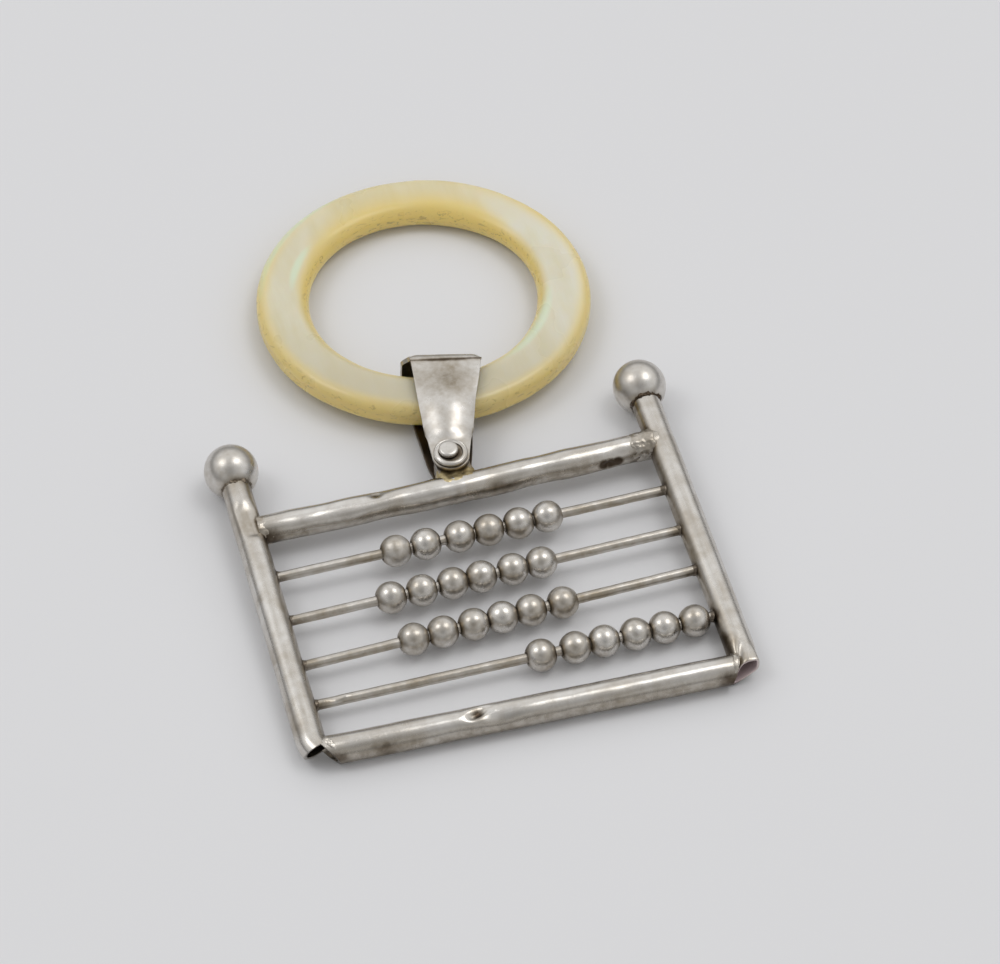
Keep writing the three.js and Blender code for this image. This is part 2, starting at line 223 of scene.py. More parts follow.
def finish_piece(bm, name, body, material, nodes=(), place=plane, grime_and_shade=None, carried=()):
    """Its darkening function says how dark each point is, for dirty places and for painted shade. Carried
    is what else the material reads at the points.
    """
    mesh = bpy.data.meshes.new(name)
    darkness = [grime_and_shade(v.co) for v in bm.verts]
    bm.transform(place)
    bm.to_mesh(mesh)
    bm.free()
    for title, shares in {"grime_and_shade": darkness, **dict(carried)}.items():
        mesh.attributes.new(title, "FLOAT", "POINT").data.foreach_set("value", shares)
    mesh.polygons.foreach_set("use_smooth", [True] * len(mesh.polygons))
    mesh.set_sharp_from_angle(angle=SHARP_EDGE)
    mesh.materials.append(material)
    piece = bpy.data.objects.new(name, mesh)
    scene.collection.objects.link(piece)
    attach(piece, body)
    if nodes:
        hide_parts(*nodes)
    pieces_made.append(piece)
    return piece


# %% [markdown]
# ## Worn silver
#
# Old silver isn't one grey. Handling keeps the proud places bright, sulphur clouds the rest a
# warm brown grey, and dirt stays in the corners by each soldered joint. The group below mixes
# those three by a slow noise, a fine noise and the darkening that each mesh carries. Besides
# dirt, that darkening holds painted shade on under sides and shaded sides, in hollows and
# between parts, and the dark colour of dirt goes there as well. It is built once and every
# silver finish sets its own values on it.

# %% Node helpers
def feed(tree, made, values):
    """Fill a node's inputs by name or number: another node's output is linked, a value is set."""
    for key, value in values.items():
        if isinstance(value, bpy.types.NodeSocket):
            tree.links.new(value, made.inputs[key])
        elif value is not None:
            made.inputs[key].default_value = value
    return made


def node(tree, kind, values=(), **settings):
    made = tree.nodes.new(kind)
    for key, value in settings.items():
        setattr(made, key, value)
    return feed(tree, made, dict(values))


def calculate(tree, operation, one, other=None, third=None, clamp=False):
    values = {0: one, 1: other, 2: third}
    return node(tree, "ShaderNodeMath", values, operation=operation, use_clamp=clamp).outputs[0]


def noise_texture(tree, place, scale, detail, roughness, distortion=0.0):
    values = {"Vector": place, "Scale": scale, "Detail": detail, "Roughness": roughness,
              "Distortion": distortion}
    return node(tree, "ShaderNodeTexNoise", values).outputs["Fac"]


def remap(tree, value, low, high, to_low=0.0, to_high=1.0):
    values = {"Value": value, "From Min": low, "From Max": high, "To Min": to_low, "To Max": to_high}
    return node(tree, "ShaderNodeMapRange", values, interpolation_type="SMOOTHSTEP").outputs["Result"]


def mix_colours(tree, share, one, other):
    return node(tree, "ShaderNodeMix", {0: share, 6: one, 7: other}, data_type="RGBA").outputs[2]


def attribute(tree, name):
    """What the mesh carries at each of its points under this name."""
    return node(tree, "ShaderNodeAttribute", attribute_name=name).outputs["Fac"]


def mapping(tree, place, scale, rotation=(0, 0, 0)):
    values = {"Vector": place, "Rotation": rotation, "Scale": scale}
    return node(tree, "ShaderNodeMapping", values).outputs["Vector"]


def new_group(name, inputs, outputs):
    group = bpy.data.node_groups.new(name, "ShaderNodeTree")
    for side, sockets in (("INPUT", inputs), ("OUTPUT", outputs)):
        for title, kind in sockets.items():
            group.interface.new_socket(title, in_out=side, socket_type=kind)
    return group, node(group, "NodeGroupInput").outputs, node(group, "NodeGroupOutput")


def new_material(name):
    material = bpy.data.materials.new(name)
    material.use_nodes = True
    return material, material.node_tree, material.node_tree.nodes["Principled BSDF"]


# %% The worn silver group
COLOUR = "NodeSocketColor"
NUMBER = "NodeSocketFloat"
VECTOR = "NodeSocketVector"

tree, given, out = new_group(
    "worn_silver",
    {
        "Place": VECTOR, "Grain Place": VECTOR, "Grime And Shade": NUMBER, "Bright": COLOUR, "Tarnish": COLOUR,
        "Dirt And Shade": COLOUR, "Tarnish Share": NUMBER, "Roughness Low": NUMBER, "Roughness High": NUMBER,
    },
    {"Color": COLOUR, "Roughness": NUMBER, "Height": NUMBER},
)
worn_silver, place, grime_and_shade = tree, given["Place"], given["Grime And Shade"]
cloud = noise_texture(tree, place, 210.0, 4.0, 0.6, 0.4)
blotch = noise_texture(tree, place, 900.0, 4.0, 0.6)
speck = noise_texture(tree, place, 4200.0, 2.0, 0.5)
stretched = mapping(tree, place, (1.0, 0.05, 1.0), (0.4, 0.3, 0.65))
scratch = remap(tree, noise_texture(tree, stretched, 5200.0, 2.0, 0.5), 0.63, 0.72)
drawn = noise_texture(tree, given["Grain Place"], 1500.0, 3.0, 0.6)

patchy = calculate(tree, "MULTIPLY_ADD", remap(tree, cloud, 0.33, 0.68), 0.55,
                   calculate(tree, "MULTIPLY", remap(tree, blotch, 0.3, 0.7), 0.25))
cloudy = calculate(tree, "MULTIPLY_ADD", remap(tree, drawn, 0.35, 0.7), 0.3, patchy)
worn = calculate(tree, "MULTIPLY", cloudy, given["Tarnish Share"])
darkened = calculate(tree, "MULTIPLY_ADD", grime_and_shade, 0.75, worn, clamp=True)
clean_metal = mix_colours(tree, darkened, given["Bright"], given["Tarnish"])
# The dark colour goes where the mask is high: caked dirt by the joints, and painted shade in hollows,
# between parts and on under sides.
uneven_grime_and_shade = calculate(tree, "MULTIPLY_ADD", blotch, 0.5, calculate(tree, "SUBTRACT", grime_and_shade, 0.25))
caked_and_shaded = remap(tree, uneven_grime_and_shade, 0.35, 0.95)
rough_share = calculate(tree, "MULTIPLY_ADD", cloudy, 0.6, calculate(tree, "MULTIPLY", grime_and_shade, 0.6),
                        clamp=True)
rough_span = calculate(tree, "SUBTRACT", given["Roughness High"], given["Roughness Low"])
roughness = calculate(tree, "MULTIPLY_ADD", rough_share, rough_span, given["Roughness Low"])
grain = calculate(tree, "MULTIPLY_ADD", blotch, 0.4, calculate(tree, "MULTIPLY", speck, 0.12))
feed(tree, out, {
    "Color": mix_colours(tree, caked_and_shaded, clean_metal, given["Dirt And Shade"]),
    "Roughness": calculate(tree, "MULTIPLY_ADD", speck, 0.06, roughness),
    "Height": calculate(tree, "MULTIPLY_ADD", scratch, -0.25, grain),
})
print("group worn_silver:", len(tree.nodes), "nodes")

# %% A silver finish made with the group
BRIGHT = (0.71, 0.69, 0.66, 1)
TARNISH = (0.35, 0.3, 0.23, 1)
# The dark colour of caked dirt, which is also painted as shade in hollows and on under sides
DIRT_AND_SHADE = (0.075, 0.055, 0.038, 1)
YELLOW_BRIGHT = (0.68, 0.58, 0.36, 1)
YELLOW_TARNISH = (0.34, 0.26, 0.12, 1)
FIRE_STAIN = (0.62, 0.51, 0.52, 1)  # the dull purple film that heating leaves inside a tube


def silver(name, tarnish_share, rough_low, rough_high, bump_depth, bright=BRIGHT, tarnish=TARNISH,
           grain=(1, 1, 1), film=None):
    """Grain is how finely the drawn lines vary along X, Y and Z: a small share makes them long.
    Film is the dull colour where the attribute "bore" says so, or None for clean metal all over."""
    material, tree, shader = new_material(name)
    place = node(tree, "ShaderNodeTexCoord").outputs["Object"]
    finish = node(tree, "ShaderNodeGroup", node_tree=worn_silver)
    feed(tree, finish, {
        "Place": place, "Grain Place": mapping(tree, place, grain), "Grime And Shade": attribute(tree, "grime_and_shade"),
        "Bright": bright, "Tarnish": tarnish, "Dirt And Shade": DIRT_AND_SHADE, "Tarnish Share": tarnish_share,
        "Roughness Low": rough_low, "Roughness High": rough_high,
    })
    colour, metallic = finish.outputs["Color"], 1.0
    if film:
        inside = attribute(tree, "bore")
        colour = mix_colours(tree, inside, colour, film)
        metallic = calculate(tree, "SUBTRACT", 1.0, inside)
    bump = {"Distance": bump_depth * MM, "Height": finish.outputs["Height"]}
    feed(tree, shader, {
        "Base Color": colour, "Metallic": metallic, "Roughness": finish.outputs["Roughness"],
        "Normal": node(tree, "ShaderNodeBump", bump).outputs["Normal"],
    })
    return material


# %% The silver finishes
# Each one: share of tarnish, lowest and highest roughness, depth of the bump in millimetres
LINES = 0.04
tube_silver = silver("tube_silver", 0.6, 0.22, 0.38, 0.012)
post_silver = silver("post_silver", 0.72, 0.2, 0.34, 0.008, grain=(1, LINES, 1), film=FIRE_STAIN)
rail_silver = silver("rail_silver", 0.55, 0.15, 0.3, 0.007, grain=(LINES, 1, 1))
rod_silver = silver("rod_silver", 0.9, 0.24, 0.4, 0.012, grain=(LINES, 1, 1))
bead_silver = silver("bead_silver", 0.84, 0.225, 0.345, 0.006)
dull_silver = silver("dull_silver", 0.8, 0.34, 0.46, 0.08)
ball_silver = silver("ball_silver", 0.55, 0.23, 0.36, 0.008)
bail_silver = silver("bail_silver", 0.65, 0.23, 0.36, 0.008)
solder_silver = silver("solder_silver", 0.55, 0.16, 0.32, 0.03)
yellow_solder = silver("yellow_solder", 0.9, 0.22, 0.4, 0.03, YELLOW_BRIGHT, YELLOW_TARNISH)
print("silver finishes:", [m.name for m in bpy.data.materials])

# %% [markdown]
# ## Mother-of-pearl
#
# The ring is sawn from a thick shell. Its flat faces cut across the creamy nacre, and its
# walls show the honey-coloured layers below. The mesh carries how far each point is down a
# wall, and the material turns cream to honey with it. Fine streaks of growth run across the
# whole ring. One side is milkier and the near side greyer, and three places get a painted
# highlight, tinted green and rose.

# %% Colours of the shell
CREAM = (0.65, 0.58, 0.34, 1)
MILK = (0.75, 0.725, 0.6, 1)
DUSK = (0.56, 0.505, 0.36, 1)
HONEY = (0.78, 0.61, 0.2, 1)
# Colours of the painted highlights
GREEN_HIGHLIGHT = (0.68, 0.84, 0.66, 1)
ROSE_HIGHLIGHT = (0.8, 0.7, 0.6, 1)
EDGE_DIRT = (0.34, 0.26, 0.11, 1)

# %% The shell itself
pearl, tree, shader = new_material("pearl")
place = node(tree, "ShaderNodeTexCoord").outputs["Object"]
growth = mapping(tree, place, (1.0, 0.16, 1.0), (0, 0, math.radians(-38)))
streak = noise_texture(tree, growth, 420.0, 4.0, 0.55)
cloud = noise_texture(tree, place, 95.0, 3.0, 0.5)
fleck = noise_texture(tree, mapping(tree, place, (0.35, 0.35, 1.0)), 2600.0, 3.0, 0.65, 1.2)
milky = calculate(tree, "MULTIPLY_ADD", remap(tree, streak, 0.3, 0.7), 0.45,
                  calculate(tree, "MULTIPLY", remap(tree, cloud, 0.3, 0.7), 0.5))
milky = calculate(tree, "ADD", milky, attribute(tree, "milk"), clamp=True)
face_colour = mix_colours(tree, attribute(tree, "dusk"), mix_colours(tree, milky, CREAM, MILK), DUSK)
deep = calculate(tree, "MULTIPLY_ADD", calculate(tree, "SUBTRACT", cloud, 0.5), 0.6,
                 attribute(tree, "wall"))
honeyed = mix_colours(tree, remap(tree, deep, 0.02, 0.95), face_colour, HONEY)
# Painted highlights: three places on the upper face are lightened towards pale green and rose
painted_highlight = attribute(tree, "painted_highlight")
band = node(tree, "ShaderNodeValToRGB", {"Fac": painted_highlight})
for stop, position, colour in zip(band.color_ramp.elements, (0.12, 0.4), (ROSE_HIGHLIGHT, GREEN_HIGHLIGHT)):
    stop.position, stop.color = position, colour
glow = calculate(tree, "MULTIPLY", remap(tree, painted_highlight, 0.02, 0.9), 0.55)
highlighted = mix_colours(tree, glow, honeyed, band.outputs["Color"])
dirty = calculate(tree, "MULTIPLY", remap(tree, fleck, 0.56, 0.66), attribute(tree, "grime_and_shade"),
                  clamp=True)
bump = {"Distance": 0.02 * MM, "Height": calculate(tree, "MULTIPLY_ADD", dirty, -1.5, streak)}
feed(tree, shader, {
    "Base Color": mix_colours(tree, dirty, highlighted, EDGE_DIRT),
    "Roughness": remap(tree, cloud, 0.3, 0.7, 0.24, 0.36),
    "Subsurface Weight": 0.6, "Subsurface Radius": (1.0, 0.8, 0.45), "Subsurface Scale": 2.2 * MM,
    "Coat Weight": 0.25, "Coat Roughness": 0.15,
    "Normal": node(tree, "ShaderNodeBump", bump).outputs["Normal"],
})
print("material pearl:", len(tree.nodes), "nodes")

# %% [markdown]
# ## The posts
#
# Each post is a drawn tube. It starts as the outline of its wall, spun round, with a ring of
# points every quarter of a millimetre so that it can be bent and knocked. The left one is
# bent in at its lower end, cut across at a slant, and beaten flat where the top rail butts
# against it. The right one is squeezed at its lower end until its mouth has four sides, and
# its bore keeps the dull film of the fire.

# %% A tube blank and the places of the joints
TUBE_SIDES = 64
RING_STEP = 0.25  # length of tube between two rings of points
LIP = 0.06  # worn edge of an open end
post_top = finial_rise - math.sqrt(ball_radius**2 - (TUBE_RADIUS - TUBE_WALL) ** 2) + 2 * LIP


def tube_blank(low, high, outer=TUBE_RADIUS, inner=TUBE_RADIUS - TUBE_WALL):
    heights = spread(low + LIP, high - LIP, max(round((high - low) / RING_STEP), 2))
    outside = [(outer, y) for y in heights]
    inside = [(inner, y) for y in reversed(heights)]
    outline = [(outer - LIP, low), *outside, (outer - LIP, high), (inner + LIP, high), *inside,
               (inner + LIP, low)]
    return spin_outline(outline, TUBE_SIDES)


def place_post(side):
    def move(p):
        return Vector((p.x + side * half_span + p.y * post_slope, p.y, p.z))
    return move


rod_ends = {}
for row in (1, 2, 3, 4):
    points = [to_plane @ v.co for v in frame["nodes"][f"bead_rod_{row}"].data.vertices]
    low, high = min(p.x for p in points), max(p.x for p in points)
    left = [p for p in points if p.x < low + TUBE_WALL]
    right = [p for p in points if p.x > high - TUBE_WALL]
    rod_ends[row] = (sum(left, Vector()) / len(left), sum(right, Vector()) / len(right))
print("rods:", {row: [round(c, 2) for c in ends[0]] for row, ends in rod_ends.items()})


def rail_axis(u, rise, tilt, bow):
    share = 2 * u / frame_span
    return Vector((u, rise + math.tan(tilt) * u - bow * (1 - share * share), 0))


# Each joint with how far the dirt round it reaches, before the share that is added to all
ROD_REACH, TOP_REACH, BOTTOM_REACH, BALL_REACH = 0.9, 2.2, 2.0, 1.7
DIRT_SPREAD = 1.35
joints = [(end, ROD_REACH) for ends in rod_ends.values() for end in ends]
for line, reach in ((TOP_RAIL_LINE, TOP_REACH), (BOTTOM_RAIL_LINE, BOTTOM_REACH)):
    joints += [(rail_axis(side * (half_span - TUBE_RADIUS), *line), reach) for side in (-1, 1)]
joints += [(ball - Vector((0, ball_radius, 0)), BALL_REACH) for ball in (left_ball, right_ball)]

# %% Dirt and painted shade on a tube
# Stains on the tubes. Those in the dents and in the pit also paint shade into those hollows.
STAINS_AND_DENT_SHADE = [  # place on the frame, its reach and how dark it is
    ((-24.3, 3.4, 1.0), 1.7, 0.55), ((22.3, 6.0, 0.6), 1.8, 0.5), ((22.0, 2.8, 0.7), 2.0, 0.6),
    ((-24.5, 20.8, 1.4), 0.8, 0.7), ((16.7, 29.55, 0.2), 0.8, 1.1), ((17.5, 29.5, 0.2), 0.9, 1.0),
    ((18.2, 29.6, 0.3), 0.8, 1.1), ((-8.8, 31.2, 1.4), 0.8, 1.0), ((-5.9, 0.1, 1.1), 1.2, 1.2),
    ((-16.0, -1.0, 1.2), 2.4, 0.3), ((5.0, 30.1, 1.2), 2.6, 0.3), ((23.9, 37.0, 0.0), 1.8, 0.4),
]


def stain_and_dent_shade(p):
    return max(dark * max(1 - (p - Vector(spot)).length / reach, 0) for spot, reach, dark in STAINS_AND_DENT_SHADE)


def tube_grime_and_shade(side):
    """Darker round each joint, which is dirty, on the under side (painted shade) and on one side:
    the inner one of a post (side -1 or 1, painted shade), the lower one of a rail (side 0)."""
    def grime_and_shade(p):
        near = max(1 - (p - spot).length / (reach * DIRT_SPREAD) for spot, reach in joints)
        if side:
            across = -side * (p.x - side * half_span - p.y * post_slope)
        else:
            line = TOP_RAIL_LINE if p.y > finial_rise / 2 else BOTTOM_RAIL_LINE
            across = rail_axis(p.x, *line).y - p.y
        # Painted shade on the inner side of a post; on a rail the lower side is made darker. The under
        # side gets painted shade too.
        darker_side = 0.5 * smooth_step(across, 0.3 * TUBE_RADIUS, TUBE_RADIUS)
        under = 0.25 * smooth_step(-p.z, 0.3, TUBE_RADIUS)
        return max(near, 0) * 0.8 + darker_side + under + stain_and_dent_shade(p)
    return grime_and_shade


# %% Bending and cutting the left post
HOOK_ANGLE = math.radians(38)
HOOK_RADIUS = 3.4
HOOK_RISE = 2.5  # the bend starts this far above the axis of the bottom rail
HOOK_REACH = -0.62  # straight tube past the bend; below 0 the cut lies inside the bend
HOOK_MITRE = math.radians(-20)
OVERHANG = 0.3  # the file leant over, so the upper wall of each left end reaches further


def bend_hook(p):
    past = HOOK_RISE - p.y
    if past <= 0:
        return p
    turn = min(past / HOOK_RADIUS, HOOK_ANGLE)
    straight = past - turn * HOOK_RADIUS
    arm = HOOK_RADIUS - p.x
    return Vector((
        HOOK_RADIUS - arm * math.cos(turn) + straight * math.sin(turn),
        HOOK_RISE - arm * math.sin(turn) - straight * math.cos(turn),
        p.z,
    ))


def cut_across(bm, spot, normal):
    """Cut a tube across and join the two rims that this leaves."""
    slice_at(bm, spot, normal)
    bmesh.ops.bridge_loops(bm, edges=[e for e in bm.edges if e.is_boundary])
    bmesh.ops.recalc_face_normals(bm, faces=bm.faces[:])


def hooked_post(blank):
    return move_points(move_points(blank, bend_hook), place_post(-1))


hook_foot = HOOK_RISE - HOOK_RADIUS * HOOK_ANGLE - HOOK_REACH - 1.6 * TUBE_RADIUS
mouth = Vector((
    -half_span + HOOK_RADIUS * (1 - math.cos(HOOK_ANGLE)) + HOOK_REACH * math.sin(HOOK_ANGLE),
    HOOK_RISE - HOOK_RADIUS * math.sin(HOOK_ANGLE) - HOOK_REACH * math.cos(HOOK_ANGLE),
    0,
))
facing = HOOK_ANGLE + HOOK_MITRE
hook_way = Vector((math.sin(facing), -math.cos(facing), -OVERHANG))
post = hooked_post(tube_blank(hook_foot, post_top))
cut_across(post, mouth, hook_way)

# %% Left post
FLAT_START, FLAT_END = (28.7, 29.5), (32.4, 34.4)  # between these the flat grows and fades


def flatten(p):
    """The front of the post is beaten flat beside the end of the top rail."""
    beaten = smooth_step(p.y, *FLAT_START) * (1 - smooth_step(p.y, *FLAT_END))
    across = p.x + half_span - p.y * post_slope
    front = 1.18 - 0.16 * (across - 0.2) - 0.05 * (p.y - 30.5)
    if p.z > front:
        return Vector((p.x, p.y, blend(p.z, front + 0.25 * (p.z - front), beaten)))
    return p


move_points(post, flatten)
waver(post, 6.0, 0.05, 3.1)
waver(post, 2.0, 0.008, 7.7)
press(post, (-24.5, 20.8, 1.4), 0.25, 0.7, 0.06, 80)
press(post, (-24.6, 3.4, 1.3), 0.9, 1.6, 0.05, 70)
left_post = finish_piece(post, "left_post_tube", "frame", post_silver, ["left_post"],
                         grime_and_shade=tube_grime_and_shade(-1))
print("left post:", len(left_post.data.polygons), "faces")

# %% Right post
CRUSH_LENGTH = 4.2
CRUSH_TAIL = 1.25
CRUSH_SQUARENESS = 0.8
FILM_SHARE = 0.9
# Corners of the squeezed mouth, across and through: lower inner and outer, upper inner and outer
MOUTH = ((-2.3, -1.75), (1.2, 0.05), (-0.75, 1.5), (1.2, 1.5))


def crush(p):
    """Squeeze the lower end to a mouth with four corners, and slant it."""
    amount = smooth_step(CRUSH_LENGTH - CRUSH_TAIL - p.y, 0, CRUSH_LENGTH)
    around = math.atan2(p.z, p.x)
    square = (abs(math.cos(around)) ** 6 + abs(math.sin(around)) ** 6) ** (-1 / 6)
    wide = math.hypot(p.x, p.z) * blend(1, square, CRUSH_SQUARENESS)
    s, t = ((wide * share / TUBE_RADIUS + 1) / 2 for share in (math.cos(around), math.sin(around)))
    x, z = (blend(blend(MOUTH[0][i], MOUTH[1][i], s), blend(MOUTH[2][i], MOUTH[3][i], s), t)
            for i in (0, 1))
    return Vector((blend(p.x, x, amount), p.y + amount * (0.03 + 0.24 * z), blend(p.z, z, amount)))


post = tube_blank(-CRUSH_TAIL, post_top)
middle_of_wall = TUBE_RADIUS - TUBE_WALL / 2
stained = [FILM_SHARE * (math.hypot(v.co.x, v.co.z) < middle_of_wall) for v in post.verts]
move_points(post, crush)
move_points(post, place_post(1))
waver(post, 7.0, 0.045, 11.3)
waver(post, 2.2, 0.006, 5.2)
press(post, (22.75, 0.4, 1.4), 0.4, 1.7, 0.3, 72)
press(post, (23.6, 0.2, 1.4), 0.25, 1.2, -0.1, 78)
press(post, (24.0, 12.0, 1.5), 1.2, 3.0, 0.05, 85)
right_post = finish_piece(post, "right_post_tube", "frame", post_silver, ["right_post"],
                          grime_and_shade=tube_grime_and_shade(1), carried={"bore": stained})
print("right post:", len(right_post.data.polygons), "faces")

# %% [markdown]
# ## The rails
#
# The rails are the same tube laid across. The top one sags a little and has a dimple and a
# pit. The bottom one is cut at a slant at its left end, and a hard knock has folded its wall
# near the middle. Where the bottom rail would run into a post it is cut away by a bar as thick
# as that post, which is how a smith files a saddle before soldering. The top rail's left end
# butts against the flattened front of the post instead.

# %% Top rail
TOP_RAIL_START = 1.4  # its left end stops this far inside the axis of the post


def lay_across(line):
    def move(p):
        place = rail_axis(p.y, *line)
        return Vector((place.x, place.y - p.x, p.z))
    return move


rail = move_points(tube_blank(-half_span + TOP_RAIL_START, half_span), lay_across(TOP_RAIL_LINE))
waver(rail, 4.6, 0.17, 21.7)
waver(rail, 2.1, 0.05, 9.9)
press(rail, (-8.75, 31.2, 1.4), 0.5, 0.6, 0.24)
press(rail, (-9.3, 31.0, 1.4), 1.0, 2.2, 0.16, 24)
press(rail, (-12.5, 30.4, 1.2), 1.4, 2.6, 0.14, 14)
press(rail, (-17.4, 30.9, 1.4), 1.2, 1.6, 0.12, 60)
press(rail, (17.2, 29.5, 0.2), 0.4, 0.7, 0.36, push=(0, 1, -0.2))
press(rail, (17.9, 29.6, 0.3), 0.25, 0.3, -0.1, push=(0, 1, -0.3))
press(rail, (18.2, 30.4, 1.2), 0.9, 1.7, 0.12, -10)
top_rail = finish_piece(rail, "top_rail_tube", "frame", rail_silver, ["top_rail"],
                        grime_and_shade=tube_grime_and_shade(0))
print("top rail:", len(top_rail.data.polygons), "faces")

# %% Bars as thick as the posts
BAR_STEP = 1.0  # length of bar between two rings of points
BAR_RADIUS = TUBE_RADIUS + 0.03


def bar(low, high):
    bm = bmesh.new()
    bmesh.ops.create_cone(
        bm, cap_ends=True, segments=TUBE_SIDES, radius1=BAR_RADIUS, radius2=BAR_RADIUS, depth=high - low,
        matrix=Matrix.Translation((0, (low + high) / 2, 0)) @ Matrix.Rotation(-math.pi / 2, 4, "X"),
    )
    for height in spread(low, high, round((high - low) / BAR_STEP))[1:-1]:
        slice_at(bm, (0, height, 0), (0, 1, 0), clear=False)
    return bm


left_bar = hooked_post(bar(hook_foot, HOOK_RISE * 3))
slice_at(left_bar, mouth, hook_way)
bmesh.ops.holes_fill(left_bar, edges=[e for e in left_bar.edges if e.is_boundary])
bmesh.ops.recalc_face_normals(left_bar, faces=left_bar.faces[:])
right_bar = move_points(move_points(bar(-CRUSH_TAIL * 2, HOOK_RISE * 3), crush), place_post(1))

# %% Bottom rail
RAIL_OVERRUN = 0.5
LEFT_CUT_BACK, RIGHT_CUT_BACK = 0.52, 0.15
RAIL_MITRE = math.radians(33)
corner = half_span - TUBE_RADIUS + RAIL_OVERRUN
left_cut = -corner + LEFT_CUT_BACK
mitre_way = Vector((-math.cos(RAIL_MITRE), -math.sin(RAIL_MITRE), -OVERHANG))
square_way = Vector((1, -0.3, -0.3))
rail = move_points(tube_blank(-half_span, half_span), lay_across(BOTTOM_RAIL_LINE))
cut_across(rail, (left_cut, 0, 0), mitre_way)
cut_across(rail, (corner - RIGHT_CUT_BACK, 0, 0), square_way)
rail = cut_by(cut_by(rail, left_bar), right_bar)
waver(rail, 5.2, 0.06, 31.4)
waver(rail, 2.1, 0.03, 2.6)
press(rail, (-5.9, 0.2, 1.5), 0.42, 1.1, 0.5, 20, push=(0, -0.25, -1))
press(rail, (-6.6, -0.1, 1.5), 0.4, 0.5, 0.2, -40)
press(rail, (-4.9, -0.5, 1.4), 0.7, 1.6, 0.14, -20)
press(rail, (-3.4, -0.6, 1.2), 1.2, 1.8, 0.2, -20)
bottom_rail = finish_piece(rail, "bottom_rail_tube", "frame", rail_silver,
                           ["bottom_rail"], grime_and_shade=tube_grime_and_shade(0))
print("bottom rail:", len(bottom_rail.data.polygons), "faces")

# %% [markdown]
# ## The balls
#
# Each finial is a hollow ball of two soldered halves, polished by handling. A sphere that is
# pushed about by a slow noise gives the soft, slightly broken reflections of thin metal.

# %% Two ball finials
def ball_grime_and_shade(middle):
    def grime_and_shade(p):
        offset = p - middle
        # Dark at the neck, where the ball is soldered to its post, and painted shade on the under side.
        neck = smooth_step(-offset.y, ball_radius * 0.62, ball_radius * 0.95)
        below = 0.3 * smooth_step(-offset.z, 0.4, ball_radius)
        return 0.9 * neck + below
    return grime_and_shade


for side, middle, seed in (("left", left_ball, 41.0), ("right", right_ball, 53.0)):
    bm = bmesh.new()
    bmesh.ops.create_uvsphere(
        bm, u_segments=96, v_segments=48, radius=ball_radius - 0.05,
        matrix=Matrix.Translation(middle) @ Matrix.Rotation(math.pi / 2, 4, "X"),
    )
    waver(bm, 2.6, 0.045, seed)
    waver(bm, 0.9, 0.006, seed)
    finish_piece(bm, f"{side}_finial_ball", "frame", ball_silver, [f"{side}_finial"],
                 grime_and_shade=ball_grime_and_shade(middle))
print("balls: 2")

# %% [markdown]
# ## Rods and beads
#
# A rod is drawn wire, a little uneven, and each bead is a small ball with a hole through it.
# The beads are turned from an outline: round the ball, then back along the bore. Every bead
# gets its own seed, so that no two have the same dents.

# %% Four rods
ROD_RADIUS = 0.55
ROD_SIDES = 24
ROD_STEP = 0.3


def rod_frame(row):
    left, right = rod_ends[row]
    along = (right - left).normalized()
    side = Vector((0, 0, 1)).cross(along)
    turn = Matrix((along, side, along.cross(side))).transposed().to_4x4()
    return left, right, turn


for row in (1, 2, 3, 4):
    left, right, turn = rod_frame(row)
    length = (right - left).length + TUBE_WALL
    bm = bmesh.new()
    bmesh.ops.create_circle(bm, cap_ends=True, segments=ROD_SIDES, radius=ROD_RADIUS)
    caps = bm.faces[:]
    steps = round(length / ROD_STEP)
    for _ in range(steps):
        caps = [f for f in bmesh.ops.extrude_face_region(bm, geom=caps, use_keep_orig=False)["geom"]
                if isinstance(f, bmesh.types.BMFace)]
        bmesh.ops.translate(bm, verts=list({v for f in caps for v in f.verts}),
                            vec=(0, 0, length / steps))
    bmesh.ops.recalc_face_normals(bm, faces=bm.faces[:])
    bm.transform(Matrix.Rotation(math.pi / 2, 4, "Y"))
    bmesh.ops.translate(bm, verts=bm.verts[:], vec=(-length / 2, 0, 0))
    bm.transform(Matrix.Translation((left + right) / 2) @ turn)
    waver(bm, 1.3, 0.03, 60.0 + row)
    if row == 1:
        press(bm, (-19.7, 6.5, 0.5), 0.5, 0.5, 0.12)
        press(bm, (-18.5, 6.5, 0.5), 0.4, 0.4, -0.08)
        press(bm, (-20.8, 6.5, 0.5), 0.4, 0.35, -0.05)

    # Darker near the soldered ends and on the lower side of the rod.
    def rod_darkening(p, left=left, right=right):
        ends = min((p - left).length, (p - right).length)
        below = left.y + (right.y - left.y) * (p.x - left.x) / (right.x - left.x) - p.y
        under = 0.45 * smooth_step(below, -0.2, ROD_RADIUS)
        return 0.4 * (1 - smooth_step(ends, 0.2, 2.0)) + 0.7 * under

    finish_piece(bm, f"bead_rod_{row}_wire", "frame", rod_silver, [f"bead_rod_{row}"],
                 grime_and_shade=rod_darkening)
print("rods: 4")

# %% Twenty-four beads
BEAD_RADIUS = 1.75
BEAD_BORE = 0.67
BEAD_LIP = 0.1
BEAD_SIDES = 48
BEAD_RINGS = 26
DULL_BEAD = "bead_4_1"  # the first one of the top row has lost its polish
bead_half = math.sqrt(BEAD_RADIUS**2 - (BEAD_BORE + BEAD_LIP) ** 2)


def bead_blank():
    widest = math.asin(bead_half / BEAD_RADIUS)
    outside = [(BEAD_RADIUS * math.cos(a), BEAD_RADIUS * math.sin(a))
               for a in spread(-widest, widest, BEAD_RINGS)]
    lip = BEAD_LIP / 2
    bore = [(BEAD_BORE, bead_half - lip), (BEAD_BORE, lip - bead_half)]
    return spin_outline([*outside, *bore], BEAD_SIDES)


def keep_length(p):
    """The worn ends never stand out further than the bead's true length, so that beads can touch."""
    return Vector((p.x, max(-bead_half, min(bead_half, p.y)), p.z))


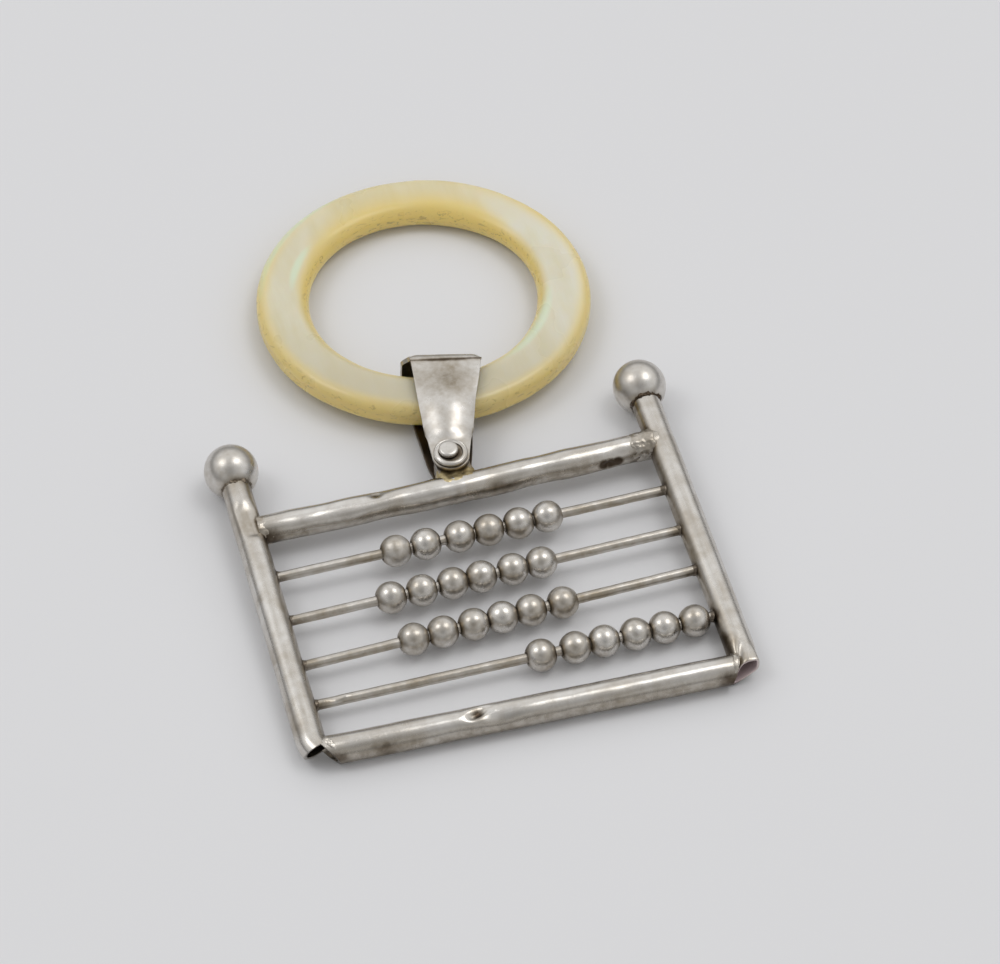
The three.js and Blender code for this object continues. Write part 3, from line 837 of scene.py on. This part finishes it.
def bead_grime_and_shade(p):
    """Darker at the bore of a bead and on the flats beside it: dirty places, and painted shade where the
    beads meet.
    """
    return 0.62 * smooth_step(abs(p.y), bead_half * 0.72, bead_half * 1.02)


for row in (1, 2, 3, 4):
    left, right, turn = rod_frame(row)
    for place_in_row in range(1, 7):
        name = f"bead_{row}_{place_in_row}"
        bm = bead_blank()
        seed = 10.0 * row + place_in_row
        waver(bm, 1.6, 0.035, seed)
        waver(bm, 0.7, 0.004, seed)
        move_points(bm, keep_length)
        roll = Matrix.Rotation(seed * 1.7, 4, "Y")
        place = (plane @ Matrix.Translation(to_plane @ centre(name)) @ turn
                 @ Matrix.Rotation(-math.pi / 2, 4, "Z") @ roll)
        finish = dull_silver if name == DULL_BEAD else bead_silver
        finish_piece(bm, f"{name}_ball", name, finish, [name], place=place,
                     grime_and_shade=bead_grime_and_shade)
print("beads: 24")

# %% [markdown]
# ## The bail
#
# The bail is one tapered strip of sheet, folded over the ring, with a round eye at each end.
# A flat grid is the easiest start: its rows run along the strip, and each point is then moved
# to its place on the folded line. A Solidify modifier gives the sheet its thickness and a
# Bevel modifier takes the sharpness off its edges.

# %% Line and width of the folded strip
SHEET = 0.5
LUG_HALF = 1.2
LEG_PLAY = 0.12
PIN_WIDTH = 4.1
FOLD_WIDTH = 7.8
MOUTH_HALF = 2.25
FOLD_DEPTH = 1.6
FOLD_SQUARENESS = 3.6  # 2 would be a plain ellipse
LEG_BEND = 12.8
EYE_STRAIGHT = 2.1
SAG = 0.4  # the fold hangs this far below the plane of the frame
FOLD_SKEW = math.tan(math.radians(3.5))
BAIL_TURN = math.radians(-12)
CROWN = 0.95  # the front leg is bulged across its width by this much
HUMP = 0.5  # and along its length, so that it climbs steeply from the pin
eye_radius = PIN_WIDTH / 2
bail_length = LEG_BEND + FOLD_DEPTH + SHEET / 2
pin_place = to_plane @ centre("bail_pin")
pin_spot = plane @ Matrix.Translation((pin_place.x, pin_place.y, 0))
bail_place = pin_spot @ Matrix.Rotation(BAIL_TURN, 4, "Z")


def leg_height(along, face):
    low = LUG_HALF + LEG_PLAY + SHEET / 2
    rise = smooth_step(along, EYE_STRAIGHT, LEG_BEND)
    return face * blend(low, MOUTH_HALF + SHEET / 2, rise) - SAG * rise


def bail_half_width(along, face):
    """A round eye, then a taper; the back leg is cut fuller than the front one."""
    if along < 0:
        return math.sqrt(max(eye_radius**2 - along**2, 0.0))
    fuller = 0.92 if face > 0 else 0.62
    return blend(PIN_WIDTH, FOLD_WIDTH, (along / bail_length) ** fuller) / 2


fold_high = MOUTH_HALF + SHEET / 2
fold_run = math.pi * math.sqrt((FOLD_DEPTH**2 + fold_high**2) / 2)
half_run = eye_radius + LEG_BEND + fold_run / 2


def folded(run):
    """Place along, height, bulge and leg (1 front, -1 back) at a run from the middle of the fold."""
    face = 1 if run <= 0 else -1
    from_middle = abs(run)
    if from_middle < fold_run / 2:
        turn = math.pi / 2 * (1 - from_middle / (fold_run / 2))
        across, out = (trig(turn) ** (2 / FOLD_SQUARENESS) for trig in (math.cos, math.sin))
        return LEG_BEND + FOLD_DEPTH * out, face * fold_high * across - SAG, 0.0, face
    along = LEG_BEND - (from_middle - fold_run / 2)
    bulge = CROWN * smooth_step(along, 1.6, 3.6) * (1 - smooth_step(along, 6.5, LEG_BEND))
    hump = HUMP * smooth_step(along, 1.6, 7.0) * (1 - smooth_step(along, 7.0, LEG_BEND))
    through = leg_height(max(along, 0), face)
    return (along, through + hump, bulge, face) if face > 0 else (along, through, bulge / 3, face)


# %% The strip itself
ACROSS = 28
ALONG = 260
EYE_TIP = 1e-3
EDGE_WEAR = 0.11
EYE_HOLE = 0.79  # radius of the hole in the eyes, the washers and the lug
DRILL_LENGTH = 9
TURNED_SIDES = 64


def spaced_run(share):
    """Rows crowd together at the two round ends, where the outline turns quickly."""
    run = (2 * share - 1) * half_run
    from_tip = half_run - abs(run)
    if from_tip < eye_radius:
        from_tip = eye_radius * (1 - math.cos(from_tip / eye_radius * math.pi / 2))
    return math.copysign(half_run - max(from_tip, EYE_TIP), run)


def fold_sheet(p):
    along, through, bulge, face = folded(spaced_run((p.y + 1) / 2))
    half_width = bail_half_width(along, face)
    back_share = smooth_step(-through - SAG, -MOUTH_HALF, -MOUTH_HALF * 0.4)
    across = p.x * half_width - back_share * FOLD_SKEW * along
    worn_corner = smooth_step(abs(p.x), 0.7, 1.0) ** 2 * smooth_step(along, LEG_BEND, bail_length)
    worn_corner *= 0.7 if p.x > 0 else 0.35
    reach = 0.14 * (1 - p.x) * smooth_step(along, 9, LEG_BEND)
    spread_right = 0.35 * smooth_step(p.x, -0.5, 1.0) * smooth_step(along, 7.0, 12.0) * (1 - back_share)
    return Vector((across + spread_right, along + reach - worn_corner,
                   through + face * bulge * (0.4 - p.x * p.x)))


def drilled(bm):
    """Drill the rivet's hole through both legs of the strap, or through the lug."""
    drill = bmesh.new()
    bmesh.ops.create_cone(drill, cap_ends=True, segments=TURNED_SIDES, radius1=EYE_HOLE,
                          radius2=EYE_HOLE, depth=DRILL_LENGTH)
    return cut_by(bm, drill)


bm = bmesh.new()
bmesh.ops.create_grid(bm, x_segments=ACROSS, y_segments=ALONG, size=1)
move_points(bm, fold_sheet)
bmesh.ops.recalc_face_normals(bm, faces=bm.faces[:])
strip = scratch_object(bm, "strip")
thick = strip.modifiers.new("thickness", "SOLIDIFY")
thick.thickness = SHEET
thick.offset = 0
worn_edge = strip.modifiers.new("worn edge", "BEVEL")
worn_edge.width = EDGE_WEAR
worn_edge.segments = 3
worn_edge.limit_method = "ANGLE"
worn_edge.angle_limit = math.radians(50)
bm = drilled(take_result(strip))
waver(bm, 3.2, 0.035, 71.0)
waver(bm, 0.9, 0.008, 72.0)


def bail_grime_and_shade(p):
    """Darker inside the fold and under it (painted shade), in a painted dark reflection along the fold's
    front edge, round the rivet and in one patch.
    """
    front, back = (leg_height(max(p.y, 0), face) for face in (1, -1))
    # Painted shade inside the fold, between the two legs
    inside = smooth_step(front - 0.12 - p.z, 0, 0.1) * smooth_step(p.z - back - 0.12, 0, 0.1)
    at_pin = 1 - smooth_step(math.hypot(p.x, p.y), 1.9, 3.0)
    # A painted dark reflection along the fold's front edge
    fold_line = math.exp(-(((p.y - LEG_BEND - 0.5) / 0.25) ** 2)) * smooth_step(p.z, 0.8, 1.8)
    patch = math.exp(-(((p.x - 0.2) / 2.6) ** 2) - (((p.y - 10.4) / 3.0) ** 2)) * smooth_step(p.z, 0.5, 1)
    # Painted shade on the under side
    under = 0.4 * smooth_step(-p.z, 0.5, 1.0)
    return (0.8 * inside * (1 - smooth_step(p.y, LEG_BEND, LEG_BEND + 1)) + 0.35 * at_pin
            + 0.8 * fold_line + 0.5 * patch + under)


bail_strap = finish_piece(bm, "bail_strap_sheet", "bail", bail_silver, ["bail_strap"],
                          place=bail_place, grime_and_shade=bail_grime_and_shade)
print("bail:", len(bail_strap.data.polygons), "faces")

# %% Rivet
PIN_RADIUS = 0.7
HEAD_RADIUS = 1.075
HEAD_HEIGHT = 0.57
WASHER_SEAT = LUG_HALF + LEG_PLAY + SHEET + LEG_PLAY
WASHER_FLOOR = 0.2
neck = WASHER_SEAT + WASHER_FLOOR + LEG_PLAY
HEAD_SHIFT = Vector((-0.2, 0, -0.2))  # the rivet's heads were struck a little off its middle
head_dome = [
    (HEAD_RADIUS * math.cos(a) ** 0.45, neck + HEAD_HEIGHT * blend(0.35, 1, math.sin(a) ** 0.55))
    for a in spread(0, math.pi / 2, 14)
]
head_dome[-1] = (1e-4, head_dome[-1][1])
upper = [(PIN_RADIUS, neck), (HEAD_RADIUS - 0.05, neck), (HEAD_RADIUS, neck + 0.05), *head_dome]
lower = [(radius, -height) for radius, height in reversed(upper)]
bm = spin_outline([*upper, *lower], TURNED_SIDES)
for v in bm.verts:
    if abs(v.co.y) > neck - 0.01:
        v.co += HEAD_SHIFT
waver(bm, 1.2, 0.02, 81.0)


def pin_grime_and_shade(p):
    # Darker on the shank and under each head, where it sits in its washer: dirt and painted shade.
    return 0.9 * (1 - smooth_step(abs(p.y), neck - 0.1, neck + 0.25))


finish_piece(bm, "rivet_with_heads", "frame", ball_silver, ["bail_pin"],
             place=pin_spot @ Matrix.Rotation(math.pi / 2, 4, "X"), grime_and_shade=pin_grime_and_shade)

# %% Washers
WASHER_OUTER = 1.88
DISH = 1.32
washer_outline = [
    (EYE_HOLE, 0), (WASHER_OUTER - 0.05, 0), (WASHER_OUTER, 0.05), (WASHER_OUTER, 0.22),
    (WASHER_OUTER - 0.05, 0.3), (WASHER_OUTER - 0.13, 0.34), (WASHER_OUTER - 0.2, 0.31),
    (WASHER_OUTER - 0.24, 0.33), (WASHER_OUTER - 0.34, 0.37), (DISH + 0.12, 0.37), (DISH + 0.03, 0.34),
    (DISH, 0.27), (DISH - 0.06, WASHER_FLOOR), (EYE_HOLE, WASHER_FLOOR),
]


def washer_grime_and_shade(p):
    from_axis = math.hypot(p.x, p.z)
    # Darker in the dish under the rivet's head, with dirt and painted shade, and painted shade at the rim.
    return 0.9 * (1 - smooth_step(from_axis, 1.15, 1.45)) + 0.4 * smooth_step(from_axis, 1.8, 1.95)


for name, face in (("front_washer", 1), ("back_washer", -1)):
    bm = spin_outline(washer_outline, TURNED_SIDES)
    waver(bm, 0.9, 0.03, 83.0 + face)
    seat = Matrix.Translation((0, 0, face * WASHER_SEAT)) @ Matrix.Rotation(face * math.pi / 2, 4, "X")
    finish_piece(bm, f"{name}_dish", "bail", bail_silver, [name], place=bail_place @ seat,
                 grime_and_shade=washer_grime_and_shade)
print("rivet and washers: 3")

# %% The lug
LUG_WIDTH = 3.7
bm = bmesh.new()
bmesh.ops.create_circle(bm, cap_ends=True, segments=TURNED_SIDES, radius=LUG_WIDTH / 2)
lug_foot = rail_axis(pin_place.x, *TOP_RAIL_LINE)
pin_rise = pin_place.y - lug_foot.y


def to_lug(p):
    """The lower half of the round eye becomes the plate that stands on the rail."""
    if p.y >= 0:
        return p
    side = math.copysign(LUG_WIDTH / 2, p.x) if abs(p.x) > 0.35 * LUG_WIDTH else p.x
    return Vector((side, max(p.y * 3, -pin_rise), 0))


move_points(bm, to_lug)
bmesh.ops.solidify(bm, geom=bm.faces[:], thickness=2 * LUG_HALF)
bmesh.ops.translate(bm, verts=bm.verts[:], vec=(0, 0, LUG_HALF))
bmesh.ops.recalc_face_normals(bm, faces=bm.faces[:])
finish_piece(drilled(bm), "bail_lug_plate", "frame", tube_silver, ["bail_lug"],
             place=pin_spot, grime_and_shade=lambda p: 0.55)
print("lug: 1")

# %% [markdown]
# ## The ring
#
# The ring is turned too. Its section is a flat bar whose edges years of wear have rounded, more
# at the bore than at the rim, and whose faces fall a little towards both edges. The mesh
# carries where the shell is honey-coloured, where it gets a painted highlight and which side is
# milky or grey.

# %% Ring of mother-of-pearl
RING_RADIUS = 19.02
RING_WIDTH = 5.95
RING_THICKNESS = 3.3
INNER_WEAR = 1.62  # radius of the worn edge at the bore
OUTER_WEAR = 1.15
FACE_WEAR = 0.26  # the faces are worn down this much at both edges
RING_SIDES = 256
EDGE_POINTS = 12
FACE_POINTS = 12
ring_joint = next(j for j in frame["joints"] if j["name"] == "ring_turn")
ring_axis = Vector(ring_joint["axis"]).normalized()
ring_half = RING_THICKNESS / 2
bore = RING_RADIUS - RING_WIDTH


def worn_edge_points(centre_radius, wear, start):
    """A quarter turn round one worn edge of the section."""
    height = ring_half - wear
    return [(centre_radius + wear * math.cos(a), math.copysign(height, math.sin(start + 1e-6))
             + wear * math.sin(a)) for a in spread(start, start + math.pi / 2, EDGE_POINTS)]


def face_points(sign):
    """The face between two worn edges: inwards on the upper side, outwards on the under side."""
    low, high = bore + INNER_WEAR, RING_RADIUS - OUTER_WEAR
    return [(blend(high, low, t) if sign > 0 else blend(low, high, t), sign * ring_half)
            for t in spread(0, 1, FACE_POINTS)[1:-1]]


section = (
    worn_edge_points(RING_RADIUS - OUTER_WEAR, OUTER_WEAR, 0) + face_points(1)
    + worn_edge_points(bore + INNER_WEAR, INNER_WEAR, math.pi / 2)
    + worn_edge_points(bore + INNER_WEAR, INNER_WEAR, math.pi) + face_points(-1)
    + worn_edge_points(RING_RADIUS - OUTER_WEAR, OUTER_WEAR, 3 * math.pi / 2)
)


def wear_faces(p):
    share = (math.hypot(p.x, p.z) - bore) / RING_WIDTH * 2 - 1
    return Vector((p.x, p.y * (1 - FACE_WEAR / ring_half * abs(share) ** 3), p.z))


bm = move_points(spin_outline(section, RING_SIDES), wear_faces)
waver(bm, 9.0, 0.1, 91.0)
waver(bm, 2.2, 0.03, 92.0)
ring_turned = ring_axis.to_track_quat("Y", "Z").to_matrix().to_4x4()
ring_place = Matrix.Translation(centre("pearl_ring")) @ ring_turned @ Matrix.Scale(MM, 4)

# %% What the ring's mesh carries
MILK_SIDE, MILK_SHARE = math.radians(-5), 0.45
DUSK_SIDE, DUSK_SHARE = math.radians(-105), 0.8
FACE_LEVEL = 0.2  # only points above this shimmer
# Places of the painted highlight: their direction from the ring's middle and half their length,
# both in degrees, then their distance from the axis and half their width
HIGHLIGHT_PLACES = [(137, 30, 18.5, 0.6), (-40, 26, 14.2, 0.7), (150, 14, 15.0, 0.5)]


def on_table(p):
    """Direction and distance from the ring's middle, as it lies now, in millimetres."""
    return ring_place.to_3x3() @ p / MM


def wall_at(p):
    """0 on the upper face, 1 on the walls; the far side is honey-coloured further in."""
    place = on_table(p)
    from_axis = math.hypot(p.x, p.z)
    far_side = smooth_step(place.y / max(from_axis, 1), 0.45, 1.0)
    down = 1 - smooth_step(place.z, -ring_half * 0.4, ring_half)
    beside_bore = 1 - smooth_step(from_axis - bore, 0, blend(2.0, 4.6, far_side))
    beside_rim = 0.7 * (1 - smooth_step(RING_RADIUS - from_axis, 0, 2.4))
    whole = 0.2 * far_side
    return 1 - (1 - down) * (1 - 0.75 * beside_bore) * (1 - beside_rim * (1 - far_side)) * (1 - whole)


def side_share(p, direction):
    """1 on the side of the ring that lies in this direction on the table, 0 on the other."""
    place = on_table(p)
    return smooth_step(place.x * math.cos(direction) + place.y * math.sin(direction), 2, RING_RADIUS)


def ring_grime(p):
    from_axis = math.hypot(p.x, p.z)
    inner = 1 - smooth_step(from_axis - bore, 0.1, 0.9)
    outer = 1 - smooth_step(RING_RADIUS - from_axis, 0.05, 0.7)
    return 0.6 * max(inner, 0.8 * outer)


# Where the upper face gets its painted highlight
def painted_highlight_at(p):
    place = on_table(p)
    if place.z < FACE_LEVEL:
        return 0.0
    direction = math.degrees(math.atan2(place.y, place.x))
    from_axis = math.hypot(p.x, p.z)
    shares = []
    for middle, length, radius, width in HIGHLIGHT_PLACES:
        turned = (direction - middle + 180) % 360 - 180
        shares.append(math.exp(-((turned / length) ** 2) - ((from_axis - radius) / width) ** 2))
    return max(shares)


carried = {
    "wall": [wall_at(v.co) for v in bm.verts],
    "painted_highlight": [painted_highlight_at(v.co) for v in bm.verts],
    "milk": [MILK_SHARE * side_share(v.co, MILK_SIDE) for v in bm.verts],
    "dusk": [DUSK_SHARE * side_share(v.co, DUSK_SIDE) for v in bm.verts],
}
ring = finish_piece(bm, "pearl_ring_band", "ring", pearl, ["pearl_ring"], place=ring_place,
                    grime_and_shade=ring_grime, carried=carried)
print("ring:", len(ring.data.polygons), "faces")

# %% [markdown]
# ## Solder
#
# Hard solder runs into the corner between two pieces and freezes there as a smooth fillet.
# Such a fillet is hard to draw but easy to get: put plain copies of the two pieces together,
# remesh them as one skin and smooth it, which fills the hollow corners. The copies are a little
# thinner than the real pieces, and away from the joint the skin is pushed in under them, so
# only the fillet shows.

# %% A fillet from the pieces it joins
VOXEL = 0.09
SINK = 0.3  # further from its joint than its reach, solder lies this far under the skin


def limb(bm, start, end, radius, end_radius=None):
    """A plain or tapered bar between two points."""
    axis = end - start
    turn = axis.to_track_quat("Z", "Y").to_matrix().to_4x4()
    bmesh.ops.create_cone(
        bm, cap_ends=True, segments=32, radius1=radius, radius2=end_radius or radius,
        depth=axis.length, matrix=Matrix.Translation((start + end) / 2) @ turn,
    )


def fillet(name, limbs, spot, reach, rounds, roughness, grime_and_shade, balls=(), material=solder_silver):
    """Limbs and balls are the copies, and rounds is how often their skin is smoothed."""
    bm = bmesh.new()
    for start, end, *radii in limbs:
        limb(bm, Vector(start), Vector(end), *radii)
    for middle, radius in balls:
        bmesh.ops.create_uvsphere(bm, u_segments=32, v_segments=16, radius=radius,
                                  matrix=Matrix.Translation(middle))
    thing = scratch_object(bm, "solder")
    skin = thing.modifiers.new("skin", "REMESH")
    skin.mode = "VOXEL"
    skin.voxel_size = VOXEL
    bm = take_result(thing)
    for _ in range(rounds):
        bmesh.ops.smooth_vert(bm, verts=bm.verts[:], factor=0.5, use_axis_x=True, use_axis_y=True,
                              use_axis_z=True)
    waver(bm, 0.7, roughness, len(name) * 1.3)
    waver(bm, 0.3, roughness * 0.6, len(name) * 2.1)
    bm.normal_update()
    sunk = [(v, v.normal * SINK * smooth_step((v.co - spot).length, reach * 0.8, reach))
            for v in bm.verts]
    for v, push in sunk:
        v.co -= push
    finish_piece(bm, name, "frame", material, grime_and_shade=lambda p: grime_and_shade)


def post_at(side, v):
    return Vector((side * half_span + v * post_slope, v, 0))


# %% Rod joints
SHY = 0.04  # the post's copy is this much thinner than the post
POST_COPY = 1.6  # and reaches this far up and down from a joint
for row, (left, right) in rod_ends.items():
    for side, end in ((-1, left), (1, right)):
        inward = Vector((-side, 0, 0))
        fillet(
            f"rod_solder_{row}_{'left' if side < 0 else 'right'}",
            [
                (post_at(side, end.y - POST_COPY), post_at(side, end.y + POST_COPY), TUBE_RADIUS - SHY),
                (end - inward, end + inward * 0.9, ROD_RADIUS + 0.22, ROD_RADIUS - 0.12),
            ],
            spot=end, reach=1.1, rounds=7, roughness=0.06, grime_and_shade=0.75,
        )
print("rod joints: 8")

# %% Rail joints
for side, title, start, proud in ((-1, "left", 1.2, 0.08), (1, "right", 0.6, 0.15)):
    end = rail_axis(side * (half_span - start), *TOP_RAIL_LINE)
    inner = rail_axis(side * (half_span - TUBE_RADIUS - 2.4), *TOP_RAIL_LINE)
    fillet(
        f"top_rail_solder_{title}",
        [
            (post_at(side, end.y - POST_COPY), post_at(side, end.y + POST_COPY), TUBE_RADIUS - 0.4),
            (end, inner, TUBE_RADIUS + proud, TUBE_RADIUS - 0.12),
        ],
        spot=rail_axis(side * (half_span - TUBE_RADIUS), *TOP_RAIL_LINE), reach=2.9,
        rounds=5, roughness=0.08, grime_and_shade=0.45,
    )
RIM_RISE = Vector((0, 0.04, 0.12))  # keeps the rims off the table
for title, u, way in (("left", left_cut, mitre_way), ("right", corner - 0.2, square_way)):
    end, way = rail_axis(u, *BOTTOM_RAIL_LINE), way.normalized()
    fillet(
        f"bottom_rail_solder_{title}",
        [(end + RIM_RISE - way * 0.7, end + RIM_RISE - way * 0.05, TUBE_RADIUS - 0.1, TUBE_RADIUS + 0.02)],
        spot=end, reach=4.0, rounds=4, roughness=0.07, grime_and_shade=0.35,
    )
print("rail joints: 4")

# %% Ball and lug joints
seam = math.sqrt(ball_radius**2 - TUBE_RADIUS**2)
for side, title, middle, proud, darkness in (
    (-1, "left", left_ball, 0.1, 0.7), (1, "right", right_ball, 0.22, 1.1),
):
    foot = middle.y - seam
    fillet(
        f"finial_solder_{title}",
        [
            (post_at(side, foot - 1.2), post_at(side, foot + 0.5), TUBE_RADIUS - 0.2),
            (post_at(side, foot - 0.22), post_at(side, foot + 0.2), TUBE_RADIUS + 0.02,
             TUBE_RADIUS + proud),
        ],
        balls=[(middle, ball_radius - 0.2)], spot=post_at(side, foot), reach=2.6, rounds=2,
        roughness=0.2, grime_and_shade=darkness,
    )
lug_side = Vector((LUG_WIDTH / 2 - 0.6, 0, 0))
lug_rise = Vector((0, 2.5, 0))
fillet(
    "lug_solder",
    [
        (lug_foot - lug_side * 1.5, lug_foot + lug_side * 1.5, TUBE_RADIUS),
        (lug_foot - lug_side, lug_foot - lug_side + lug_rise, LUG_HALF + 0.5, LUG_HALF - 0.1),
        (lug_foot, lug_foot + lug_rise, LUG_HALF + 0.5, LUG_HALF - 0.1),
        (lug_foot + lug_side, lug_foot + lug_side + lug_rise, LUG_HALF + 0.45, LUG_HALF - 0.1),
    ],
    spot=lug_foot + Vector((0, 1.4, 1.0)), reach=2.5, rounds=14, roughness=0.035, material=yellow_solder,
    grime_and_shade=0.15,
)
print("pieces so far:", len(pieces_made))

# %% [markdown]
# ## The table, the light and the camera
#
# The object lies on a plain pale table under two large soft lamps, one from the upper left
# and one from above the right. Metal shows its surroundings, so the sky matters as much as
# the lamps: it is a plain grey that darkens towards the horizon, which draws the thin dark
# line round each ball, and towards the camera's side, as in a room with a dark end.

# %% Table
TABLE_GREY = (0.765, 0.765, 0.778, 1)
bpy.ops.mesh.primitive_plane_add(size=4)
table = bpy.context.object
table.name = "table"
table_finish, tree, shader = new_material("table_paper")
feed(tree, shader, {"Roughness": 0.7, "Specular IOR Level": 0.15, "Base Color": TABLE_GREY})
table.data.materials.append(table_finish)

# %% Lamps
LAMP_DISTANCE = 0.7


def lamp(name, direction, size, watts):
    data = bpy.data.lights.new(name, "AREA")
    data.shape = "DISK"
    data.size = size
    data.energy = watts
    thing = bpy.data.objects.new(name, data)
    scene.collection.objects.link(thing)
    way = Vector(direction).normalized()
    thing.location = way * LAMP_DISTANCE
    thing.rotation_mode = "QUATERNION"
    thing.rotation_quaternion = way.to_track_quat("Z", "Y")


lamp("left_softbox", (-0.54, 0.19, 0.82), 0.3, 0.5)
lamp("right_softbox", (0.4, 0.03, 0.915), 0.34, 0.64)

# %% Sky
# The dark end of the room lies on the camera's side of the table
DARK_SIDE = (-0.178, -0.633, 0.753)
DARK_REACH = math.radians(78)
DARK_SHADE = 0.6
sky = bpy.data.worlds.new("studio")
scene.world = sky
sky.use_nodes = True
tree = sky.node_tree
heading = node(tree, "ShaderNodeTexCoord").outputs["Generated"]
parts = node(tree, "ShaderNodeSeparateXYZ", {"Vector": heading}).outputs
front_floor = remap(tree, parts["Y"], -0.9, -0.2, 0.15, 0.0)
shade = remap(tree, calculate(tree, "ADD", parts["Z"], front_floor), 0.04, 0.6, 0.2, 0.95)
toward = node(tree, "ShaderNodeVectorMath", {0: heading, 1: DARK_SIDE}, operation="DOT_PRODUCT")
for reach in (DARK_REACH, DARK_REACH / 3):
    dark = remap(tree, toward.outputs["Value"], math.cos(reach), 1.0, 1.0, DARK_SHADE)
    shade = calculate(tree, "MULTIPLY", shade, dark)
feed(tree, tree.nodes["Background"], {"Color": shade})

# %% Camera
CAMERA_PLACE = (-0.07328, -0.28475, 0.33193)
CAMERA_TILT = math.radians(41.14)
CAMERA_HEADING = math.radians(-15.72)
LENS_LENGTH = 144  # a long lens, for the nearly flat perspective of the photo
SENSOR_WIDTH = 36
lens = bpy.data.cameras.new("view")
lens.lens = LENS_LENGTH
lens.sensor_width = SENSOR_WIDTH
lens.sensor_fit = "HORIZONTAL"
lens.clip_start = 0.01
lens.clip_end = 20
camera = bpy.data.objects.new("camera", lens)
camera.location = CAMERA_PLACE
camera.rotation_euler = (CAMERA_TILT, 0, CAMERA_HEADING)
scene.collection.objects.link(camera)
scene.camera = camera
scene.view_settings.view_transform = "Standard"

# %% Sizes for comparison, and the end
print("triangles:", sum(len(p.data.loop_triangles) for p in pieces_made))
